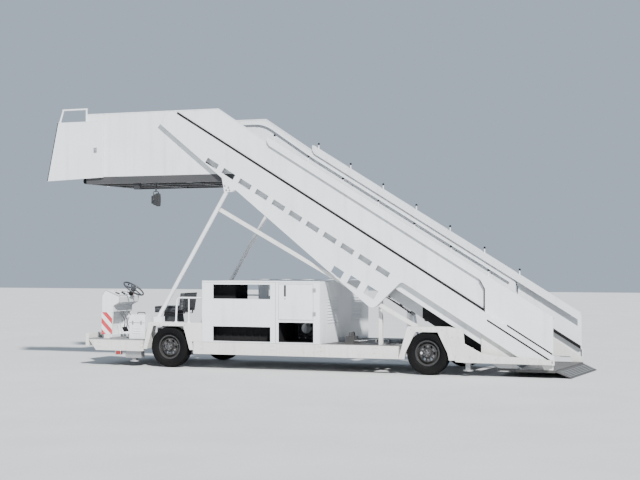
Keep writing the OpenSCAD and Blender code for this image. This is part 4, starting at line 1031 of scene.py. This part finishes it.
def makeFront():
    f = frontShape
    x0, x1, z0, z1 = f["board"]
    putBoth("markerSheets", "stripes",
            *[box((x0 + 0.002, y, z0 + 0.002), (x1 - 0.002, y + 0.0015, z1 - 0.002))
            for y in (1.112, 1.0985)])
    bolts = [(x, 1.1135, z) for x in (x0 + 0.03, x1 - 0.03) for z in (z0 + 0.03, z1 - 0.03)]
    putBoth("markerBolts", "alloy", rivetHeads(bolts))
    # bezels of the side lamps, a bar along each edge of the lens
    x0, x1, z0, z1 = f["lamp"]
    bars = ((x0 - 0.004, x1 + 0.004, z0 - 0.004, z0 + 0.006), (x0 - 0.004, x1 + 0.004, z1 - 0.006, z1),
            (x0 - 0.004, x0 + 0.006, z0 + 0.006, z1 - 0.006), (x1 - 0.006, x1 + 0.004, z0 + 0.006,
            z1 - 0.006))
    y0, y1 = f["lampY"]
    putBoth("lampBezels", "chrome", *[box((a, y0, c), (b, y1, d)) for a, b, c, d in bars], bevel=0.001)
    # head lamps and bolts on the bumper's face
    putBoth("headLamps", "clearLens", lathe([(-4, 62), (8, 64), (14, 60), (14, 54), (9, 52), (13, 30),
            (14, 2)], (f["bumper"], 0.86, 0.45), (-1, 0, 0)))
    bolts = [(f["bumper"], y, z) for y in (0.12, 0.5, 1.03) for z in (0.36, 0.5)]
    putBoth("bumperBolts", "alloy", hexHeads(bolts, (-1, 0, 0), 11, 8))
    # tow pin with its ring
    x, z = f["pin"]
    pin = lathe([(-48, 18), (-44, 19.5), (44, 19.5), (48, 18)], (x, 0, z), around=24)
    cap = lathe([(36, 28), (44, 28), (46, 24)], (x, 0, z), around=24)
    a = np.linspace(0, 6.2, 30)
    ring = np.column_stack([x + 0.022 * np.cos(a), np.full(30, 0.05), z - 0.02 + 0.022 * np.sin(a)])
    putMesh("towPin", "chrome", pin, cap, tubeAlong(ring, 0.003, around=8))
    # grab rails from the cabinet's front frame to posts on the fenders
    y, high, low = f["railY"], 1.16, 0.752
    rail = bentTube([(cabinetFront, y, high), (-2.0, y, high), (-2.02, y, low)], 0.07, f["rail"])
    brace = tubeAlong([(-1.78, y, high), (-1.78, y, low)], f["rail"] * 0.8)
    foot = lathe([(0, 34), (5, 34), (8, 28), (20, 18)], axis=(0, 0, 1), around=24)
    putBoth("grabRails", "white", rail, brace, repeat(foot, [(x, y, 0.75) for x in (-2.02, -1.78)]))
    # a boarding step below the driver's deck
    hangers = [box((x, -1.1, 0.263), (x + 0.008, -1.08, 0.42)) for x in (-2.965, -2.713)]
    putMesh("boardingStep", "alloy", box((-2.97, -1.118, 0.255), (-2.70, -1.06, 0.263)), *hangers,
            bevel=0.001)


makeFront()
print("front dressed")


# upper flight: work lamp, dock bumper, panel seams, underside, guard fittings
flightShape = {"lampAt": (-2.51, -0.88, 2.80), "lampHalf": (0.05, 0.075, 0.105),
        "bumper": (-3.90, -3.8105, 3.094, 3.194), "ribs": 47, "ribDepth": 0.006, "guardY": 1.0,
        "guardOut": 1.015}


def makeLamp():
    # a flood lamp in a stirrup under the platform, with fins, glass, guard bars, clamp knobs and a junction
    # box; the body's section is a rounded square, cosine and sine to the power one half
    (x, y, z), (deep, wide, tall), along = flightShape["lampAt"], flightShape["lampHalf"], (1, 0, 0)
    t = np.linspace(0, 2 * math.pi, 32, endpoint=False)
    section = [np.sign(wave) * np.abs(wave) ** 0.5 * half
            for wave, half in ((np.cos(t), wide), (np.sin(t), tall))]
    steps = ((-1.0, 0.55), (-0.9, 0.72), (-0.5, 0.86), (0.3, 0.96), (0.6, 0.98), (0.62, 1.06), (1.0, 1.06),
            (1.0, 0.9))
    rings = np.stack([np.stack([np.full(32, x + deep * s), y + section[0] * k, z + section[1] * k], -1)
            for s, k in steps])
    body = rings.reshape(-1, 3), ringFaces(len(steps), 32)
    fins = [box((x - deep * 1.25, y + k - 0.002, z - 0.065), (x + deep * 0.2, y + k + 0.002, z + 0.065))
            for k in np.linspace(-0.05, 0.05, 7)]
    top, arm, front = deckTop - 0.12, 0.088, x + deep + 0.008
    stirrup = bentTube([(x, y - arm, z), (x, y - arm, z + 0.14), (x, y + arm, z + 0.14), (x, y + arm, z)],
            0.03, 0.007, along, 12)
    stem = tubeAlong([(x, y, z + 0.135), (x, y, top)], 0.014, along, 16)
    foot = lathe([(0, 40), (6, 40), (14, 20)], (x, y, top), (0, 0, -1), 24)
    knobs = [lathe([(0, 16), (12, 16), (16, 10), (18, 2)], (x, y + s * 0.084, z), (0, s, 0), 20)
            for s in sides]
    bars = [tubeAlong([(front, y + k, z - 0.095), (front, y + k, z + 0.095)], 0.0025, along, 8)
            for k in np.linspace(-0.05, 0.05, 5)]
    lamp = putMesh("floodLamp", "dark", body, stirrup, stem, foot, *fins, *knobs, *bars, body="upper_flight")
    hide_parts("work_lamp")
    glass = box((x + deep - 0.002, y - 0.062, z - 0.088), (x + deep + 0.002, y + 0.062, z + 0.088))
    putMesh("floodGlass", "gauge", glass, body="upper_flight")
    bx = x - 0.34
    pipe = bentTube([(bx + 0.05, y - 0.02, top - 0.05), (x - 0.10, y - 0.02, top - 0.05),
            (x - 0.06, y - 0.02, top - 0.012), (x - 0.03, y - 0.005, top - 0.006)], 0.03, 0.006, around=10)
    putMesh("junctionBox", "dark", box((bx - 0.05, y - 0.06, top - 0.10), (bx + 0.05, y + 0.02, top)),
            box((bx - 0.053, y - 0.063, top - 0.104), (bx + 0.053, y + 0.023, top - 0.092)), pipe,
            body="upper_flight", bevel=0.002)


def makeDockBumper():
    # a D section with rounded nose; ribs run up and down it, their depth a clipped cosine along Y
    x0, x1, z0, z1 = flightShape["bumper"]
    half, ribs, t = walkY - 0.001, flightShape["ribs"], np.linspace(-math.pi / 2, math.pi / 2, 15)
    rounded = np.column_stack([x0 + 0.03 - 0.03 * np.cos(t), (z0 + z1) / 2 + (z1 - z0) / 2 * np.sin(t)])
    outline = np.concatenate([[(x1, z0)], rounded, [(x1, z1)]])
    y = np.linspace(-half, half, ribs * 8 + 1)
    rib = flightShape["ribDepth"] * (np.clip(np.cos(y / half * math.pi * ribs) * 3, -1, 1) - 1) / 2
    away = outline - (x1, (z0 + z1) / 2)
    away[[0, -1]] = 0
    away /= np.maximum(np.linalg.norm(away, axis=1, keepdims=True), 1e-6)
    xz = outline[None] + away[None] * rib[:, None, None]
    points = np.stack([xz[..., 0], np.repeat(y[:, None], len(outline), 1), xz[..., 1]], -1).reshape(-1, 3)
    pad = putMesh("dockPad", "rubber", (points, ringFaces(len(y), len(outline))), body="upper_flight",
            smooth=50)
    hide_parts("dock_bumper")


def makePlatform():
    start, top, side, flight = deckStart, deckTop, panelY, {"body": "upper_flight"}
    # cover strips over the panels' joints, skirting inside, rivets along the outer sheets, a sill at the dock
    putBoth("panelCovers", "white",
            *[box((x - 0.014, side, top + 0.105), (x + 0.014, side + 0.002, top + 0.845))
            for x in (deckJoint, -2.94)], **flight, bevel=0.0008)
    putBoth("skirtings", "alloy", box((start + 0.002, 0.928, top), (deckEdge - 0.002, 0.9398, top + 0.1)),
            **flight, bevel=0.002)
    spots = [(x, side, z) for x in np.arange(start + 0.09, deckEdge - 0.35, 0.16)
            for z in (top + 0.018, top + 1.05)]
    putBoth("panelRivets", "white", rivetHeads(spots, 4.5), **flight)
    ridges = [box((start + x, -0.92, top + 0.004), (start + x + 0.012, 0.92, top + 0.0065))
            for x in (0.012, 0.036)]
    putMesh("dockSill", "rubber", box((start + 0.001, -0.93, top), (start + 0.07, 0.93, top + 0.004)),
            *ridges, **flight)


def makeGuards():
    x0, top = guardFront, deckTop
    for name, s in (("guard_left", -1), ("guard_right", 1)):
        outer, mid, latchX = s * flightShape["guardOut"], s * flightShape["guardY"], x0 + 0.96
        edge = prism([(x0 - 0.004, top - 0.05), (x0 + 0.206, top + 0.95), (x0 + 0.222, top + 0.95),
                (x0 + 0.012, top - 0.05)], mid - 0.019, mid + 0.019)
        putMesh(name + "Edge", "rubber", edge, body=name, bevel=0.004)
        collars = [lathe([(0, 26), (6, 26), (12, 18)], (x0 + dx, mid, top + 0.95), (0, 0, 1), 22)
                for dx in (0.243, 0.775)]
        spots = [(x, outer, z) for x in np.linspace(x0 + 0.26, x0 + 0.98, 5)
                for z in (top + 0.02, top + 0.92)]
        cap = box((x0 + 0.222, mid - 0.0165, top + 0.948), (x0 + 1.0, mid + 0.0165, top + 0.953))
        putMesh(name + "Trim", "white", cap, rivetHeads(spots, 5.5, (0, s, 0)), *collars, body=name)
        y0, y1 = sorted((outer, outer + s * 0.012))
        putMesh(name + "Latch", "alloy", box((latchX - 0.03, y0, top + 0.42),
                (latchX + 0.03, y1, top + 0.50)), lathe([(12, 9), (30, 9), (34, 6)],
                (latchX, outer, top + 0.46), (0, s, 0), 18), body=name, bevel=0.001)


makeLamp()
makeDockBumper()
makePlatform()
makeGuards()
print("platform dressed")


# lift cylinder and its pipe, foot flap, dark sheets that paint the shade under the stairs, driveline and
# valves, tail lamps
liftShape = {"line": -0.5, "mouth": 1.75, "length": 1.75, "bands": (450, 950, 1400), "pipeOff": 0.08395}
flapShape = {"hinge": (4.359, 0.0, 0.098), "tip": (4.57, 0.0, 0.010), "ribs": 5, "half": 0.9}
shadeSheetShape = {"head": 1.56, "foot": 2.84, "line": -0.345, "half": 0.799, "deckZ": (0.4405, 0.4455),
        "deckY": 1.058}
driveShape = {"shaft": ((0.47, 0.0, 0.345), (2.225, 0.0, 0.34)), "silencer": (0.75, 0.34, 0.34),
        "valve": (0.86, -0.62, 0.4455), "yoke": ((0, 4), (0, 55), (14, 55), (16, 36), (50, 30), (75, 30),
        (90, 36), (100, 36)), "drum": ((0, 4), (0, 60), (15, 78), (30, 84), (35, 80), (460, 80), (465, 84),
        (480, 78), (495, 60), (495, 4)), "coil": ((0, 20), (4, 24), (50, 24), (56, 18), (70, 8), (71, 1))}


def makeLift():
    s = liftShape
    foot = lineAt(s["mouth"], s["line"])
    head = foot - downSlope * s["length"]
    gland = lathe([(-50, 61), (-45, 68), (0, 68), (12, 62), (20, 46), (20, 36.5)], head, -downSlope, 40, True)
    base = lathe([(-10, 50), (0, 66), (50, 66), (55, 61), (54, 30)], foot, -downSlope)
    bands = [lathe([(t, 61), (t, 64), (t + 30, 64), (t + 30, 61)], foot, -downSlope, 40, True)
            for t in s["bands"]]
    putMesh("liftGland", "chrome", gland, base, *bands)
    above, near = offSlope * s["pipeOff"], head + downSlope * 0.03
    far = foot - downSlope * 0.2 + above
    putMesh("liftPipe", "alloy", bentTube([near + offSlope * 0.06, near + above, far, far + (0, 0.09, 0),
            (1.72, 0.15, 0.46), (1.72, 0.15, 0.36)], 0.03, 0.008, (0, 1, 0.2), 12))


def makeFlap():
    # stiffening ribs across the flap
    hinge, tip = np.array(flapShape["hinge"]), np.array(flapShape["tip"])
    half, lean = flapShape["half"], math.degrees(math.atan2(hinge[2] - tip[2], tip[0] - hinge[0]))
    rib = turned(box((-0.004, -half, -0.001), (0.004, half, 0.003)), (0, 1, 0), lean)
    spots = [hinge + (tip - hinge) * (0.22 + 0.15 * k) + (0.002, 0, 0.011 - 0.0012 * k)
            for k in range(flapShape["ribs"])]
    putMesh("flapRibs", "alloy", repeat(rib, spots), body="foot_flap", bevel=0.0008)


def makeShadeSheets():
    # dark sheets that paint the shade where it falls: a sheet with pressed ribs under the lower flight, a
    # lining at each rear wheel and a strip on each stringer beside it, and a deck plate between the cabinet
    # and the stairs
    s, half = shadeSheetShape, shadeSheetShape["half"]
    line = s["line"]
    ribs = [stripPart(x, x + 0.03, line - 0.022, line - 0.006, -half, half)
            for x in np.arange(s["head"] + 0.05, s["foot"] - 0.04, 0.2)]
    putMesh("stairShadeSheet", "dark", stripPart(s["head"], s["foot"], line - 0.006, line, -half, half), *ribs,
            bevel=0.002)
    high = [lineAt(x, -0.174)[[0, 2]] for x in (3.24, 2.69)]
    putBoth("wheelShadeLiners", "rubber", prism([(2.69, 0.735), (2.828, 0.25), (3.24, 0.25), *high], 0.858, 0.862))
    putBoth("stringerShadeSheets", "rubber", stripPart(2.2, 2.93, -0.342, -0.166, 0.8405, 0.8445))
    (z0, z1), y = s["deckZ"], s["deckY"]
    putMesh("shadeDeck", "darkPlate", *[box((x0, -y, z0), (x1, y, z1))
            for x0, x1 in ((0.572, 1.47), (1.54, 1.655))], bevel=0.001)


def makeDriveline():
    # propeller shaft with its joints, silencer and tail pipe between the rails
    d = driveShape
    start, end = np.array(d["shaft"])
    length = np.linalg.norm(end - start)
    along = (end - start) / length
    shaft = lathe([*d["yoke"], *[(length * 1000 - t, r) for t, r in d["yoke"][::-1]]], start, along, 32)
    crosses = [lathe([(-45, 12), (45, 12)], start + along * t, across, 14)
               for t in (0.07, length - 0.07) for across in ((0, 1, 0), (0, 0, 1))]
    putMesh("propellerShaft", "hubSteel", shaft, *crosses)
    x, y, z = d["silencer"]
    putMesh("silencer", "hubSteel", lathe(d["drum"], (x, y, z), (1, 0, 0), 36),
            bentTube([(0.36, y, z), (x + 0.02, y, z)], 0.02, 0.022, around=16),
            bentTube([(x + 0.48, y, z), (1.75, y, z), (1.90, y, z - 0.10), (2.0, y, z - 0.14)], 0.08, 0.022,
            around=16))


def makeValves():
    # valve block with its solenoids and rigid pipes on the dark deck plate
    x, y, z = driveShape["valve"]
    coils = [lathe(driveShape["coil"], (x + 0.07, y + k, z + 0.11), (0, 0, 1), 24)
            for k in (-0.08, -0.027, 0.027, 0.08)]
    putMesh("valveBlock", "dark", box((x, y - 0.11, z), (x + 0.14, y + 0.11, z + 0.11)),
            box((x - 0.02, y - 0.13, z), (x + 0.16, y + 0.13, z + 0.008)), *coils, bevel=0.002)
    pipes, up = [], z + 0.04
    for i, k in enumerate((-0.07, -0.02, 0.03, 0.08)):
        turnX, inY, endX = x + 0.24 + i * 0.02, -0.16 + k * 0.3, 1.60 + i * 0.015
        pipes.append(bentTube([(x + 0.14, y + k, up), (turnX, y + k, up), (turnX, inY, up), (endX, inY, up),
                (endX, inY, z - 0.004)], 0.03, 0.008, (0.1, 0.1, 1), 12))
    clips = [box((1.18 + k, -0.21, z), (1.2 + k, -0.11, z + 0.05)) for k in (0.0, 0.22)]
    putMesh("valvePipes", "alloy", *pipes, *clips)


def makeTailLamps():
    # round lamps on the tail plates' ends
    spot, along = (footEnd - 0.02, 1.09, 0.248), (1, 0, 0)
    putBoth("tailLampRims", "chrome", lathe([(-6, 26), (4, 27), (6, 24), (4, 21.5), (1, 21)], spot, along,
            32))
    putBoth("tailLampLenses", "redLens", lathe([(0, 21), (5, 20), (9, 14), (10.5, 2)], spot, along, 32))


makeLift()
makeFlap()
makeShadeSheets()
makeDriveline()
makeValves()
makeTailLamps()
print("lift and flap dressed; pieces made:", len(pieceNames))


# floor, light and camera
studio = {"floorHalf": 60.0, "floorColour": (0.58, 0.58, 0.575), "sky": (0.62, 0.73, 0.88),
        "skyStrength": 0.72, "sunStrength": 8.6, "sunAngle": 3.0, "sunFrom": (0.50, -0.60, 0.62),
        "eye": (9.35, -22.6, 1.76), "aim": (0.12, 0.0, 2.12), "lens": 82.0}


def makeFloor():
    # one flat square, slightly mottled
    h = studio["floorHalf"]
    floor = linked("floor", meshFrom("floor", (np.array([(-h, -h, 0), (h, -h, 0), (h, h, 0), (-h, h, 0)]),
            [np.arange(4)[None]])))
    material, tree, shader = startMaterial("floorFinish")
    spot = newNode(tree, "TexCoord").outputs["Object"]
    tint = newNode(tree, "VectorMath")
    tint.operation = "SCALE"
    feed(tree, tint, {0: studio["floorColour"], "Scale": mapRange(tree, noiseAt(tree, spot, 0.8, 6.0), 0.3,
            0.7, 0.96, 1.04)})
    feed(tree, shader, {"Base Color": tint.outputs[0], "Roughness": 0.85})
    floor.data.materials.append(material)


def aimed(holder, away):
    # its back turned to the direction away
    holder.rotation_mode = "QUATERNION"
    holder.rotation_quaternion = away.to_track_quat("Z", "Y")


def makeLight():
    world = bpy.data.worlds.new("studioSky")
    bpy.context.scene.world = world
    world.use_nodes = True
    feed(world.node_tree, world.node_tree.nodes["Background"], {0: studio["sky"], 1: studio["skyStrength"]})
    lamp = bpy.data.lights.new("key", "SUN")
    lamp.energy, lamp.angle = studio["sunStrength"], math.radians(studio["sunAngle"])
    aimed(linked("key", lamp), Vector(studio["sunFrom"]))


def makeCamera():
    camera = bpy.data.cameras.new("camera")
    camera.lens, camera.clip_end = studio["lens"], 300.0
    holder = linked("camera", camera)
    holder.location = studio["eye"]
    aimed(holder, Vector(studio["eye"]) - Vector(studio["aim"]))
    bpy.context.scene.camera = holder


makeFloor()
makeLight()
makeCamera()
print("floor, light and camera set")
